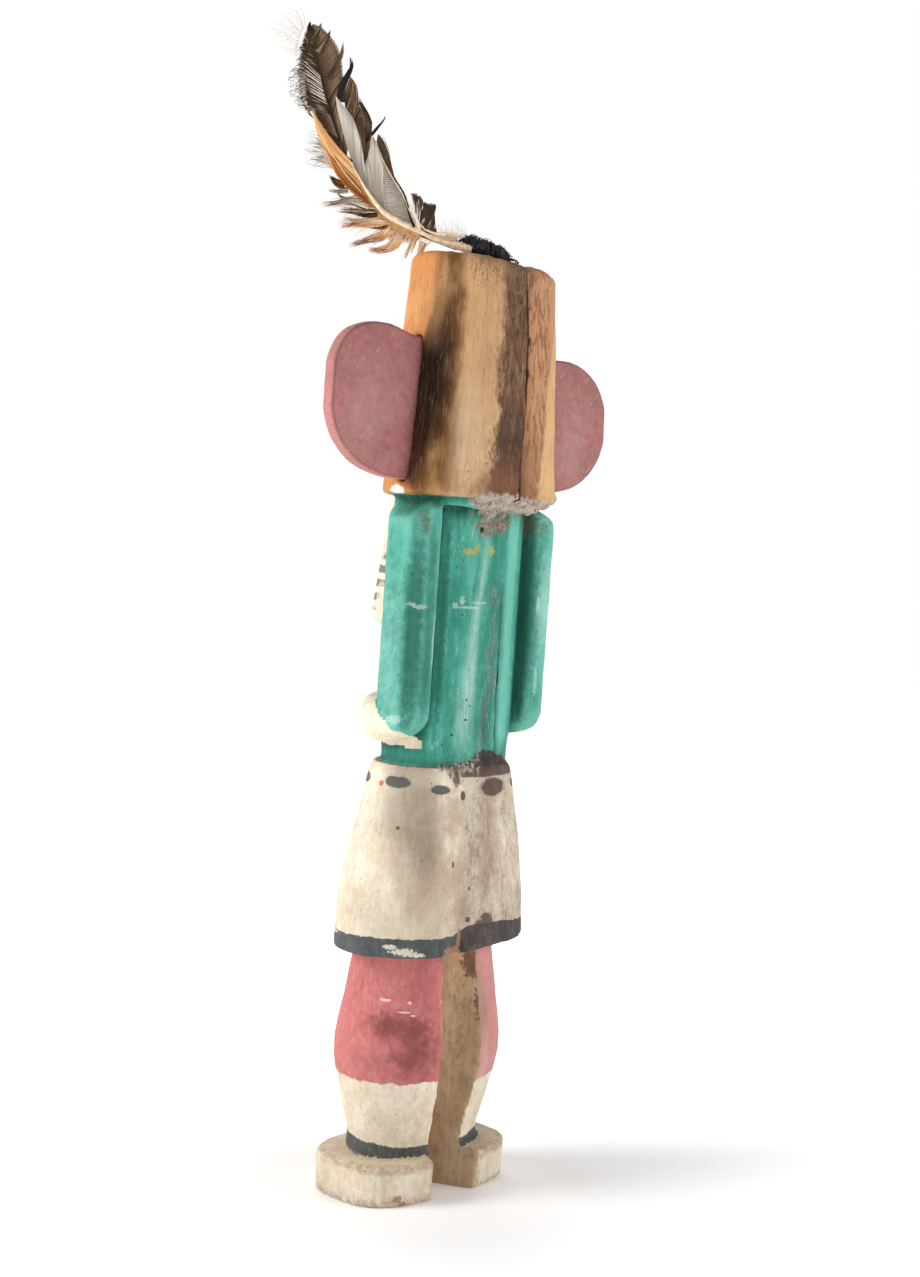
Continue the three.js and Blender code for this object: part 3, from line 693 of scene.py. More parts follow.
def kilt_finish(p, carving):
    """Lime white, clean on the left and rubbed grey-brown on the right, with a dark hem."""
    s = Finish("kilt_paint", 0.76)
    brush = lime_white(s, p)
    x, z = s.x, s.z
    cloud = s.noise(0.13, 5, 0.66, 0.6)
    fibre = s.noise(0.8, 6, 0.75, 0.3, 0.6)
    behind = s.y.above(2, 6)
    # painted brown shade where the side turns into the back, then dusty rubbed wood
    wear = fibre * 0.5 + cloud * 0.5
    turning = x - z.curve((94, 11.2), (114, 14.1), (133, 15.6))
    corner = turning.curve((-1.5, 0), (1.6, 0.75), (4.5, 1), (9.5, 1), (13, 0.6), (17, 0))
    shade = z.curve((86, 0.2), (100, 0.6), (122, 1), (138, 0.8))
    shade = corner * behind * shade * wear.curve((0.36, 0.78), (0.56, 1))
    s.lay(shade * 0.85, (0.22, 0.155, 0.1))
    s.lay(z.curve((90, 0.24), (112, 0)), (0.5, 0.37, 0.25))
    side = x.below(7, 3) * behind
    dusty = wear.above(0.45, 0.12) * side * 0.6
    s.lay(dusty, (0.37, 0.3, 0.235))
    # painted highlight down a raised line of the back
    lit_crest = x.within(2.8, 6.6, 1.6) * behind * fibre.above(0.46, 0.1) * 0.55
    s.lay(lit_crest, (0.7, 0.63, 0.55))
    # painted shade down the groove beside it
    groove = (x + fibre * 4).within(-2.6, 0.6, 1.6) * behind * fibre.above(0.47, 0.12) * 0.4
    s.lay(groove, (0.16, 0.11, 0.075))
    bare = (side * 0.08 + wear).above(0.64, 0.04) * behind
    s.lay(bare * 0.55, (0.2, 0.14, 0.1))
    pepper = s.noise(2.0, 5, 0.8)
    s.lay(pepper.above(0.575, 0.04) * side * 0.5, (0.12, 0.085, 0.06))
    # brown rubbed patches, and a long one down the groove that is painted shade
    rub_and_groove_shade = s.spots((7, 20, 97, 5, 6, 8), (10.6, 19, 128, 3.4, 6, 8), (10, 19, 108, 4, 6, 9),
                   (-3.6, 20, 120, 5.4, 6, 26), torn=1.2, soft=0.7)
    s.lay(rub_and_groove_shade * 0.52, (0.33, 0.225, 0.15))
    stains = s.spots((-0.5, 21.6, 91.9, 1.4, 4, 1.3), (4, 21, 93.8, 0.9, 4, 0.9),
                     (-4, 21.6, 93, 3, 4, 2.4), (27, 9.7, 123.4, 0.5, 1, 0.6),
                     (4, 20, 104, 0.5, 3, 0.6), (9.6, 18, 139.6, 1.6, 4, 3),
                     (10.8, 18.6, 112, 0.5, 3, 1.2), torn=1.0)
    s.lay(stains * 0.85, (0.085, 0.05, 0.035))
    fleck = s.spots((27.1, 0.5, 136.5, 1, 1.2, 0.8), torn=1.0)
    s.lay(fleck, (0.5, 0.2, 0.08))
    # dabs and the line under the waist, darker and wider towards the doll's right
    marks = s.spots(*KILT_MARKS, torn=0.3)
    block = s.spots((6.7, 17.5, 133.8, 1.0, 4, 1.6), (-1, 18, 142, 9, 5, 2.2), torn=0.8)
    right = x.below(9, 1.5)
    low = (right * behind * -2.8 + 142.5).shaken(brush["Thin"], 1.2)
    line = z.above(low, 0.25)
    brown = s.mix(fibre.above(0.5, 0.1) * 0.45, p.umber, (0.16, 0.1, 0.075))
    s.lay((marks | line | block) * 0.9, s.mix(right * behind, p.slate, brown))
    crust = s.spots((8, 18, 144, 8, 6, 4.4), torn=1.4) * 0.85
    s.lay(crust, s.mix(fibre.above(0.5, 0.08), (0.1, 0.065, 0.05), p.plaster))
    # the hem band, chipped to white, and torn to bare wood in the middle of the back
    edge = x.curve((-30, 89.9), (-12, 91.9), (3, 92.1), (9, 89.1), (14, 88.5))
    edge = (edge - 88.2) * s.y.above(0, 8) + 88.2
    edge = edge.shaken(s.noise(0.35, 4, 0.6), 2.0) + (carving.band_mm - 6.7)
    band = z.below(edge, 0.2)
    hem = s.mix(x.below(8, 1.2) * behind, p.slate, p.umber)
    hem = s.mix(brush["Thin"].above(0.5, 0.1) * 0.35, hem, (0.2, 0.21, 0.21))
    s.lay(band, hem)
    chips = s.spots((26.4, 15.6, 84.4, 3.6, 4, 1.2), (29.8, 12.7, 86, 1.8, 3, 0.7),
                    (34, -9, 87.4, 1.4, 6, 0.6), (22, 17, 83.4, 2.4, 3, 0.6), torn=1.6)
    s.lay(chips, s.mix(0.3, p.cream, p.slate))
    torn = s.spots((9.4, 20.3, 83.6, 3.4, 5, 1.8), (6.9, 20.5, 87.4, 0.7, 4, 3.6), torn=1.1)
    s.lay(torn * 0.85, (0.36, 0.19, 0.115))
    rise = x.below(3, 7) * s.y.above(0, 8)
    under = z.below(rise * 1.4 + 82.1, 0.3)
    s.lay(under, (0.36, 0.24, 0.14))
    relief = band * 0.4 + brush["Height"]
    return s.finish(relief, (0.25, 0.7, 1.0), p.grime, 0.2)


def leg_finish(p):
    """Rose calves above cream shins, with a slate anklet."""
    s = Finish("leg_paint", 0.7)
    x, z = s.x, s.z
    brush = lime_white(s, p)
    rose = s.mix(brush["Thin"].above(0.42, 0.14), s.mix(0.5, p.rose, p.rose_deep), p.rose)
    chalk = s.noise(0.6, 6, 0.75, 0.6)
    rose = s.mix(chalk.above(0.54, 0.07) * 0.3, rose, (0.66, 0.36, 0.33))
    right = x.below(0, 2) * s.y.above(2, 5)
    rose = s.mix(right * 0.4, rose, (0.62, 0.36, 0.34))
    smudge = s.spots((25, 10, 59, 7, 6, 4), (18, 14, 57, 6, 6, 5), (17, 14, 50, 8, 6, 7), torn=1.3,
                     soft=0.8)
    faint = s.spots((15, 15, 72, 4, 5, 9), (27, 8, 47, 8, 8, 3), torn=1.3, soft=0.8)
    rose = s.mix(smudge * 0.75 | faint * 0.25, rose, (0.17, 0.045, 0.042))
    shake = s.noise(0.16, 3, 0.6)
    fray = s.noise(1.2, 4, 0.7)
    edge = (shake - 0.5) * 5.5 + 40.2
    edge = edge.shaken(fray, 1.6)
    edge = right * -2.2 + edge
    s.lay(z.above(edge, 0.2), rose)
    ring = s.y * 0.07 + z
    ring = fray * 1.2 + ring
    band = ring.within(14.1, shake * 3.0 + 17.6, 0.25)
    s.lay(band * (chalk * -0.4 + 1.15), p.slate)
    low = ring.below(14.5, 0.6) * 0.7
    s.lay(low, s.mix(fray.above(0.55, 0.05), (0.5, 0.38, 0.26), (0.3, 0.22, 0.15)))
    flecks = s.spots((25, 6.8, 66.9, 1.5, 2, 0.5), (19, 12.2, 66.4, 0.5, 1.2, 0.5),
                     (18.3, 13.3, 62.4, 0.7, 1.2, 0.3), (21, 12, 63.4, 2.4, 2, 0.3), torn=1.5)
    s.lay(flecks * 0.8, (0.85, 0.66, 0.58))
    strip_x = z.curve((38, -14.6), (57, -12.4), (73, -9.9), (80, -8.6))
    from_strip = strip_x - x - z.curve((50, -0.9), (60, 0.2))
    from_strip = from_strip.shaken(fray, 7)
    strip = from_strip.below(shake * 2.2, 0.5)
    strip = strip * x.below(-3, 1) * s.y.above(8, 2) * z.above(37, 2)
    strip = strip * z.curve((38, 0.6), (50, 0.5), (62, 0.8), (70, 0.6), (80, 0.25))
    s.lay(strip * 0.85, s.mix(z.above(54, 8), (0.62, 0.42, 0.34), (0.36, 0.24, 0.16)))
    return s.finish(brush["Height"], (0.2, 0.6, 0.6), p.grime, 0.15)


def bare_finish(p):
    """Unpainted sawn wood between the legs."""
    s = Finish("bare_sawn_wood", 0.7)
    z = s.z
    grain = s.use(grain_group())
    s.colour = s.mix(grain["Streaks"].above(0.5, 0.16), (0.66, 0.48, 0.3), (0.82, 0.65, 0.46))
    s.lay(z.below(34, 14) * 0.45, (0.36, 0.225, 0.12))
    wear = s.noise(0.4, 6, 0.75, 0.5)
    s.lay(wear.above(0.54, 0.06) * 0.4, (0.3, 0.17, 0.085))
    stain = s.spots((-6.6, 13.6, 77, 3.4, 4, 5.5), (-9, 15, 66, 1.2, 3, 8), (7, 14, 79, 4, 5, 3),
                    torn=1.3)
    # painted shade on the bare face where it meets the leg, low between the legs
    shade = s.spots((-7.4, 14, 56, 3.2, 7, 16), (-8.6, 14, 36, 3.4, 7, 14), torn=1.2, soft=0.8)
    s.lay(shade * 0.55, (0.3, 0.185, 0.095))
    s.lay(stain * 0.75, (0.12, 0.05, 0.028))
    return s.finish(grain["Height"], (0.35, 0.5, 1.0), p.grime, 0.2)


def foot_finish(p):
    """Cream feet, dusty on top, rubbed at the edges, with a nail hole and a rust stain."""
    s = Finish("foot_paint", 0.75)
    z = s.z
    brush = lime_white(s, p)
    top = z.above(12.0, 0.8)
    s.lay(top * 0.4, (0.52, 0.36, 0.22))
    wear = s.noise(0.5, 6, 0.75)
    low = z.below(3.5, 3) * wear.above(0.45, 0.1)
    s.lay(low * 0.4, (0.38, 0.27, 0.17))
    rim = s.attribute("edge").above(0.3, 0.2) * wear.above(0.5, 0.06) * 0.5
    s.lay(rim, (0.36, 0.24, 0.15))
    rust = s.spots((22.5, 16.4, 3.8, 1.5, 4, 1.2), (21, 17, 1.8, 1.2, 4, 1.2), torn=1.1)
    s.lay(rust * 0.7, (0.33, 0.12, 0.05))
    hole = s.spots((-8.1, 15.4, 8.4, 0.8, 0.9, 0.8), torn=0.3)
    s.lay(hole, (0.04, 0.02, 0.015))
    relief = hole * -2.0 + brush["Height"]
    return s.finish(relief, (0.3, 0.7, 0.9), p.grime, 0.2)


def ear_finish(p):
    """Dusty rose tablets with paler rims, slanting scratches and a few pale specks."""
    s = Finish("ear_paint", 0.72)
    brush = s.use(brush_group())
    mottle = s.noise(0.55, 6, 0.75)
    s.colour = s.mix(mottle.above(0.48, 0.14), tuple(c * 0.74 for c in p.ear), p.ear)
    cloud = s.noise(0.07, 4, 0.6)
    s.lay(cloud.above(0.5, 0.12) * 0.4, (0.33, 0.175, 0.15))
    s.lay(s.z.above(268, 9) * 0.25, (0.24, 0.1, 0.09))
    band = s.attribute("rim")
    rubbed = band.above(0.5, 0.15) | s.attribute("edge").above(0.45, 0.2) * 0.6
    s.lay(rubbed * (mottle * 0.8 + 0.3) * 0.75, p.ear_rim)
    groove = band.within(0.1, 0.3, 0.06) * mottle.above(0.42, 0.08) * 0.55
    s.lay(groove, (0.14, 0.05, 0.045))
    tilt = s.node("Mapping", 0, {"Vector": s.place, "Rotation": (0, 0.7, 0)})
    slant = s.noise(0.9, 4, 0.6, 0.1, 1.0, place=tilt)
    steep = s.noise(1.4, 3, 0.6, 0.1, 1.5).above(0.68, 0.03) * 0.5
    scratches = slant.above(0.66, 0.03) * cloud.above(0.46, 0.05) | steep
    s.lay(scratches * 0.6, (0.66, 0.45, 0.4))
    pale = s.spots((48, 2, 254, 7, 12, 10), (-46, 2, 252, 6, 12, 12), torn=1.4, soft=0.9)
    s.lay(pale * 0.3, (0.5, 0.32, 0.3))
    dust = s.noise(1.5, 4, 0.75)
    right = s.x.above(0, 2) * 0.05 + 0.66
    s.lay(dust.above(right, 0.015) * 0.6, (0.84, 0.7, 0.62))
    return s.finish(brush["Height"], (0.3, 0.4, 0.8), tuple(c * 0.6 for c in p.ear), 0.12)


# ---- finishes of the feathers -----------------------------------------------------------------

def barb_finish():
    """Feather barbs: the tint is on the mesh, with fine lines along the place."""
    s = Finish("feather_barbs", 0.6, specular=0.15)
    fine = s.noise(1.8, 4, 0.7)
    s.colour = s.attribute("tint", "Color")
    s.lay(fine.above(0.5, 0.2) * 0.22, s.mix(1.0, s.colour, (0.55, 0.5, 0.45), "MULTIPLY"))
    return s.done(fine, 0.4, 0.05)


def shaft_finish(name, tint, tip, rough):
    """A quill or shaft: smooth horn with faint rings."""
    s = Finish(name, rough, coat=0.2)
    fine = s.noise(0.7, 3, 0.6)
    s.colour = s.mix(fine.above(0.5, 0.2), tint, tip)
    return s.done(fine, 0.3, 0.05)


def yarn_finish(f):
    """Dark tarred yarn, a little shiny on its windings and reddish at the tail."""
    s = Finish("tarred_yarn", 0.38, specular=0.5)
    fine = s.noise(1.6, 4, 0.7)
    s.colour = s.mix(s.x.below(-1.5, 2.5) * fine.above(0.48, 0.1), f.yarn, f.yarn_tail)
    return s.done(fine, 0.8, 0.12)


# ---- mesh helpers -----------------------------------------------------------------------------

def new_piece(name, mesh):
    piece = bpy.data.objects.new(name, mesh)
    bpy.context.scene.collection.objects.link(piece)
    return piece


def select_only(piece):
    bpy.ops.object.select_all(action="DESELECT")
    piece.select_set(True)
    bpy.context.view_layer.objects.active = piece


def edit_whole(piece, operator, **values):
    """Runs a mesh operator over the whole of a piece."""
    select_only(piece)
    bpy.ops.object.mode_set(mode="EDIT")
    bpy.ops.mesh.select_all(action="SELECT")
    operator(**values)
    bpy.ops.object.mode_set(mode="OBJECT")


def apply_modifier(piece, kind, **values):
    select_only(piece)
    made = piece.modifiers.new(kind.title(), kind)
    for key, value in values.items():
        setattr(made, key, value)
    bpy.ops.object.modifier_apply(modifier=made.name)


def fine_copy(node, name, grain_mm, smooth_rounds):
    """A copy of a solid, merged, and remeshed finely enough to be carved."""
    piece = new_piece(name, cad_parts[node].data.copy())
    piece.data.materials.clear()
    edit_whole(piece, bpy.ops.mesh.remove_doubles, threshold=WELD * MM)
    apply_modifier(piece, "REMESH", mode="VOXEL", voxel_size=grain_mm * MM)
    apply_modifier(piece, "SMOOTH", factor=0.5, iterations=smooth_rounds)
    return piece


def read(items, key):
    """The place or the direction of each vertex or face, in rows of three."""
    flat = np.empty(len(items) * 3, np.float32)
    items.foreach_get(key, flat)
    return flat.reshape(-1, 3).astype(float)


def points_and_normals(mesh):
    return read(mesh.vertices, "co"), read(mesh.vertex_normals, "vector")


def set_points(mesh, points):
    mesh.vertices.foreach_set("co", points.astype(np.float32).ravel())
    mesh.update()


def averaged(mesh, values, rounds):
    """Values on the vertices, each averaged with its neighbours' a number of times."""
    pairs = np.empty(len(mesh.edges) * 2, np.int32)
    mesh.edges.foreach_get("vertices", pairs)
    a, b = pairs.reshape(-1, 2).T
    count = np.bincount(np.concatenate([a, b]), minlength=len(values))[:, None]
    for _ in range(rounds):
        total = values.copy()
        for column in range(values.shape[1]):
            total[:, column] += np.bincount(a, values[b, column], len(values))
            total[:, column] += np.bincount(b, values[a, column], len(values))
        values = total / (count + 1)
    return values


def store(mesh, name, values):
    made = mesh.attributes.new(name, "FLOAT", "POINT")
    made.data.foreach_set("value", values.astype(np.float32))


def mark_edges(mesh, full_mm, rounds=7, name="edge"):
    """Stores how far each point stands proud of its surroundings: 1 on edges, -1 in creases."""
    points, outward = points_and_normals(mesh)
    proud = ((points - averaged(mesh, points, rounds)) * outward).sum(1) / MM
    store(mesh, name, np.clip(proud / full_mm, -1, 1))


def noise_at(points, scale, seed=0.0):
    """Smooth noise from -1 to 1 at each point; scale holds waves per mm along x, y and z."""
    scaled = points * np.asarray(scale) + seed
    return np.array([noise.noise(Vector(row)) for row in scaled])


def bend(a, middle, b, t):
    """The point at a share t of a bend from a to b that is drawn towards middle."""
    return (1 - t) ** 2 * a + 2 * t * (1 - t) * middle + t * t * b


def bump_at(values, middle, width):
    return np.exp(-((values - middle) / width) ** 2)


def smooth_step(values, low, high):
    t = np.clip((values - low) / (high - low), 0, 1)
    return t * t * (3 - 2 * t)


def finish_piece(piece, node):
    """Shades a piece smoothly, lets it ride on the doll and stand for its solid."""
    select_only(piece)
    bpy.ops.object.shade_smooth()
    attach(piece, "root")
    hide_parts(node)


# ---- the carved figure ------------------------------------------------------------------------

PARTS = ("mask", "torso", "hand", "beard", "kilt", "leg", "bare", "foot")
FOREARM_BEND = ((25.4, 6, 156.6), (25.8, -14, 156.2), (10, -16, 157.8))  # elbow to hand


def hem_height(x, y):
    """The kilt's hem rises a little towards the doll's right and back."""
    return HEM + 1.6 * smooth_step(10 - x, 0, 14) * smooth_step(y + 8, 0, 16)


def near_forearm(points):
    """True close to either forearm, which bends forward from the elbow to the belly."""
    elbow, corner, belly = np.array(FOREARM_BEND)
    spots = [bend(elbow, corner, belly, t) for t in np.linspace(0, 1, 14)]
    x, y = np.abs(points[:, 0]), points[:, 1]
    far = np.min([np.hypot(x - spot[0], y - spot[1]) for spot in spots], axis=0)
    return (far < 7.2) & (np.abs(points[:, 2] - 156.6) < 8)


def regions(centres, normals):
    """Which of PARTS each face of the body belongs to."""
    points = upright(centres)
    x, y, z = points.T
    high = centres[:, 2] / MM
    ragged = noise_at(points, (0.25, 0.25, 0.25)) * 2.5
    cuff = 163 - 0.6 * (y + 3.7) - 0.4 * np.maximum(0, 30 - np.abs(x))
    below = (z < cuff + 0.4 * ragged) | (y < -5 + ragged)
    inward = normals[:, 0] * np.sign(x) < -0.45
    level = normals[:, 2] > 0.75
    part = np.full(len(x), PARTS.index("torso"))
    for name, held in (
            ("hand", near_forearm(points) & below & (np.abs(x) > 3)),
            ("beard", (np.abs(x) < 16.6) & (y < -15.3) & (z > 183.8) & (z < 231)),
            ("mask", z > CHIN),
            ("kilt", z < WAIST),
            ("leg", z < hem_height(x, y) - 0.35),
            ("foot", (high < FOOT_TOP) | ((high < FOOT_TOP + 2) & level)),
            ("bare", inward & (np.abs(x) < 22) & (z < 83))):
        part[held] = PARTS.index(name)
    return part


def carve(mesh, carving):
    """Knife facets, the root's furrows, the long cracks and the lumpy filler under the mask."""
    places, outward = points_and_normals(mesh)
    points = upright(places)
    x, y, z = points.T
    turn = np.degrees(np.arctan2(y - HEAD_MIDDLE_Y, x))
    knife = noise_at(points, (0.13, 0.13, 0.09)) + 0.5 * noise_at(points, (0.3, 0.3, 0.12), 7)
    out = carving.knife_mm * knife
    back = smooth_step(y, 4, 10)
    furrows = noise_at(points, (0.42, 0.42, 0.018), 3)
    head = smooth_step(z, 229, 232)
    torso = smooth_step(z, 143, 147) * (1 - smooth_step(z, 225, 229))
    out += back * furrows * (0.35 * head + 0.3 * torso * (np.abs(x) < 21))
    bark = bump_at(turn, 82, 11) * head * back
    out += bark * 0.5 * noise_at(points, (0.35, 0.35, 0.12), 11)
    wander = 0.5 * noise_at(points * (0, 0, 1), (1, 1, 0.06), 5)
    crack = bump_at(x, -2 + wander, 0.75) * head * (y > 12)
    slit = bump_at(x, -8.9 + wander, 0.6) * torso * (y > 10) * (z < 197)
    out -= carving.crack_mm * (crack + 0.7 * slit)
    filler = smooth_step(turn, 40, 58) * (1 - smooth_step(turn, 142, 152))
    filler *= bump_at(z, 228.4, 4.0)
    lumps = 0.7 + 1.5 * noise_at(points, (0.3, 0.3, 0.36), 13)
    lumps += 1.1 * noise_at(points, (0.7, 0.7, 0.7), 17)
    out += filler * lumps
    waist = bump_at(z, 144, 3.4) * smooth_step(12 - x, 0, 8) * (y > 9) * (x > -16)
    out += waist * (0.5 + 0.9 * noise_at(points, (0.4, 0.4, 0.4), 19))
    torn = bump_at(z, 83, 3) * bump_at(x, 8.5, 3.2) * (y > 12)
    out -= torn * (1.1 + 0.7 * noise_at(points, (0.6, 0.6, 0.6), 23))
    off_floor = places[:, 2] > SOLE * MM
    moved = places + outward * (out * MM * off_floor)[:, None]
    moved[:, 2] = np.maximum(moved[:, 2], places[:, 2].min())
    set_points(mesh, moved)


class DOLL_OT_carve_figure(bpy.types.Operator):
    """Carve and paint the body: mask, beard, torso, arms, kilt, legs and feet in one piece"""
    bl_idname = "doll.carve_figure"
    bl_label = "Carve the figure"

    def execute(self, context):
        paints, carving = settings("doll_paint"), settings("doll_carving")
        piece = fine_copy("figure", "painted_figure", carving.grain_mm, 2)
        mesh = piece.data
        carve(mesh, carving)
        mark_edges(mesh, 0.5)
        mark_edges(mesh, 2.2, 70, "swell")
        for finish in (mask_finish(paints), torso_finish(paints), hand_finish(paints),
                       beard_finish(paints), kilt_finish(paints, carving),
                       leg_finish(paints), bare_finish(paints), foot_finish(paints)):
            mesh.materials.append(finish)
        part = regions(read(mesh.polygons, "center"), read(mesh.polygons, "normal"))
        mesh.polygons.foreach_set("material_index", part.astype(np.int32))
        finish_piece(piece, "figure")
        return {"FINISHED"}


# ---- ears -------------------------------------------------------------------------------------

class DOLL_OT_cut_ears(bpy.types.Operator):
    """Cut the two tablet ears, with rubbed rims and slightly uneven faces"""
    bl_idname = "doll.cut_ears"
    bl_label = "Cut the ears"

    def execute(self, context):
        paints, carving = settings("doll_paint"), settings("doll_carving")
        finish = ear_finish(paints)
        for side in ("left", "right"):
            node = "ear_" + side
            piece = fine_copy(node, "tablet_" + node, carving.ear_grain_mm, 3)
            mesh = piece.data
            places, outward = points_and_normals(mesh)
            points = upright(places)
            uneven = 0.22 * noise_at(points, (0.09, 0.09, 0.09), 29)
            uneven += 0.07 * noise_at(points, (0.4, 0.4, 0.3), 31)
            set_points(mesh, places + outward * (uneven * MM)[:, None])
            mark_edges(mesh, 0.35, 5)
            facing = np.abs(read(mesh.vertex_normals, "vector")[:, 1:2])
            store(mesh, "rim", 1 - averaged(mesh, facing, 2)[:, 0])
            mesh.materials.append(finish)
            finish_piece(piece, node)
        return {"FINISHED"}


# ---- feathers ---------------------------------------------------------------------------------

def unit(rows):
    """The same directions, one long."""
    return rows / (np.linalg.norm(rows, axis=-1, keepdims=True) + 1e-9)


def blend(a, b, t):
    """A colour or place that goes from a to b as t goes from 0 to 1."""
    return np.asarray(a, float) * (1 - t) + np.asarray(b, float) * t


class Plumage:
    """Collects thin closed ribbons with a tint at each point, and makes one mesh of them."""

    def __init__(self, seed):
        self.random = np.random.default_rng(seed)
        self.points, self.faces, self.tints, self.kinds = [], [], [], []

    def skin(self, start, sides, rings, kind):
        """Faces round the rings of points from start on, with a cap at either end."""
        last = start + sides * (rings - 1)
        for ring in range(start, last, sides):
            for k in range(sides):
                a, b = ring + k, ring + (k + 1) % sides
                self.faces.append((a, b, b + sides, a + sides))
        self.faces += [tuple(start + k for k in reversed(range(sides))),
                       tuple(last + k for k in range(sides))]
        self.kinds += [kind] * (sides * (rings - 1) + 2)

    def ribbon(self, spine, half_widths, tints, thick=0.07, kind=0):
        """A ribbon with a flat three-sided section along spine, in out, up and depth in mm."""
        spine = np.asarray(spine, float)
        along = unit(np.gradient(spine, axis=0))
        across = unit(np.stack([-along[:, 1], along[:, 0], np.zeros(len(spine))], 1))
        start = len(self.points)
        for spot, side, half, tint in zip(spine, across, half_widths, tints):
            self.points += [spot + side * half, spot - side * half, spot + (0, 0, thick)]
            self.tints += [tint] * 3
        self.skin(start, 3, len(spine), kind)

    def tube(self, spine, radii, tints, kind, sides=8, flat=1.0):
        """A round shaft along spine; flat squeezes it towards the plane of the spray."""
        spine = np.asarray(spine, float)
        start = len(self.points)
        turns = 2 * math.pi * np.arange(sides) / sides
        along = unit(np.gradient(spine, axis=0))
        for spot, way, radius, tint in zip(spine, along, radii, tints):
            side = unit(np.cross(way, (0, 0, 1.0)))
            top = np.cross(side, way)
            self.points += [spot + radius * (math.cos(q) * side + flat * math.sin(q) * top)
                            for q in turns]
            self.tints += [tint] * sides
        self.skin(start, sides, len(spine), kind)

    def shaft(self, line, depth, radii, tints, sides=8, flat=1.0):
        """A feather's shaft along a line, in the second of its materials."""
        spine = [(*line.at(t)[0], depth) for t in np.linspace(0, 1, len(radii))]
        self.tube(spine, radii, tints, 1, sides, flat)

    def build(self, name, materials):
        mesh = bpy.data.meshes.new(name)
        placed = stand(np.array([spray_point(*p) for p in self.points]))
        mesh.from_pydata(placed.tolist(), [], self.faces)
        mesh.polygons.foreach_set("material_index", np.array(self.kinds, np.int32))
        for material in materials:
            mesh.materials.append(material)
        tint = mesh.attributes.new("tint", "FLOAT_COLOR", "POINT")
        colours = np.ones((len(self.points), 4), np.float32)
        colours[:, :3] = np.clip(np.array(self.tints), 0, 1)
        tint.data.foreach_set("color", colours.ravel())
        piece = new_piece(name, mesh)
        edit_whole(piece, bpy.ops.mesh.normals_make_consistent, inside=False)
        return piece


class Line:
    """A smooth line through a few points of the spray's plane, in mm."""

    def __init__(self, stops):
        stops = np.array(stops, float)
        reach = np.concatenate([[0], np.cumsum(np.linalg.norm(np.diff(stops, axis=0), axis=1))])
        self.reach, self.stops = reach, stops
        self.slope = np.gradient(stops, reach, axis=0)

    @property
    def length(self):
        return self.reach[-1]

    def at(self, t):
        """The point at a share t of the length, with its direction."""
        s = min(max(t, 0.0), 1.0) * self.length
        i = min(max(np.searchsorted(self.reach, s) - 1, 0), len(self.reach) - 2)
        gap = self.reach[i + 1] - self.reach[i]
        u = (s - self.reach[i]) / gap
        a, b, da, db = self.stops[i], self.stops[i + 1], self.slope[i], self.slope[i + 1]
        spot = ((2 * u ** 3 - 3 * u * u + 1) * a + (u ** 3 - 2 * u * u + u) * gap * da
                + (3 * u * u - 2 * u ** 3) * b + (u ** 3 - u * u) * gap * db)
        way = (1 - u) * da + u * db
        return spot, way / np.linalg.norm(way)


def sheet(plumage, roots, tips, tint, depth, bow=0.04, ragged=0.05, clump=(12, 22),
          swing=0.3, gap=0.3, barb=0.56, cup=0.5, lead=1.0):
    """A smooth vane: barbs side by side from the line roots to the line tips.

    bow bends every barb towards the feather's tip, ragged shortens whole clumps, swing parts
    the clumps from one another, and lead below 1 lets the barbs sweep ahead at the outline.
    """
    rng = plumage.random
    roots, tips = Line(roots), Line(tips)
    count = int(max(roots.length, tips.length) / gap)
    along = np.linspace(0, 1, 8)
    size, left = 1, 0
    for k in range(count):
        if left == 0:
            size = left = int(rng.integers(*clump))
            lift, shade = rng.normal(0, 0.2), 1 + rng.normal(0, 0.06)
            slip, short = rng.normal(0, swing), ragged * rng.random()
        left -= 1
        t = (k + 0.5) / count
        a, way = roots.at(t)
        b, edge = tips.at(t ** lead)
        pull = (left / size - 0.5) * swing * 1.2
        b = b + edge * (slip * 0.3 - pull)
        b = a + (b - a) * (1 - short - 0.35 * ragged * rng.random())
        across = np.array([-(b - a)[1], (b - a)[0]])
        across = across * (1 if across @ way > 0 else -1) * bow
        middle = (a + b) / 2 + 2 * across
        colour, path = tint(t, rng), []
        for s in along:
            spot = bend(a, middle, b, s)
            path.append((*spot, depth + 0.1 * (k % 3) + (lift + cup) * s * s))
        tone = shade * (1 + rng.normal(0, 0.03))
        tints = [np.clip(np.asarray(colour(s)) * tone, 0, 1) for s in along]
        plumage.ribbon(path, barb / 2 * np.array([0.8, 1, 1, 1, 0.95, 0.85, 0.65, 0.25]), tints)


def lock(plumage, spine, half, count, palette, depth, fray=1.0, barb=0.36, hook=0.0):
    """A lock of barbs along spine, half wide at its root, which frays and draws to a point.

    Each barb takes one of the palette's pairs of root and tip tints.
    """
    rng = plumage.random
    spine = Line(spine)
    along = np.linspace(0, 1, 8)
    for k in range(count):
        share = 2 * (k + 0.5) / count - 1
        stop = 1 - 0.3 * fray * rng.random() * (0.4 + 0.6 * abs(share))
        drift, lift = rng.normal(0, 0.22) * fray, rng.normal(0, 0.35)
        root, tip = palette[int(rng.integers(len(palette)))]
        path = []
        for s in along:
            spot, way = spine.at(s * stop)
            across = np.array([-way[1], way[0]])
            wide = half * share * (1 - 0.85 * s ** 1.8)
            spot = spot + across * (wide + drift * s * s * spine.length * 0.1)
            path.append((spot[0], spot[1], depth + 0.1 * (k % 3) + lift * s + hook * s * s))
        shade = 1 + rng.normal(0, 0.12)
        tints = [np.clip(blend(root, tip, smooth_step(s, 0.15, 0.9)) * shade, 0, 1)
                 for s in along]
        plumage.ribbon(path, barb / 2 * np.array([0.8, 1, 1, 1, 0.9, 0.75, 0.5, 0.12]), tints)


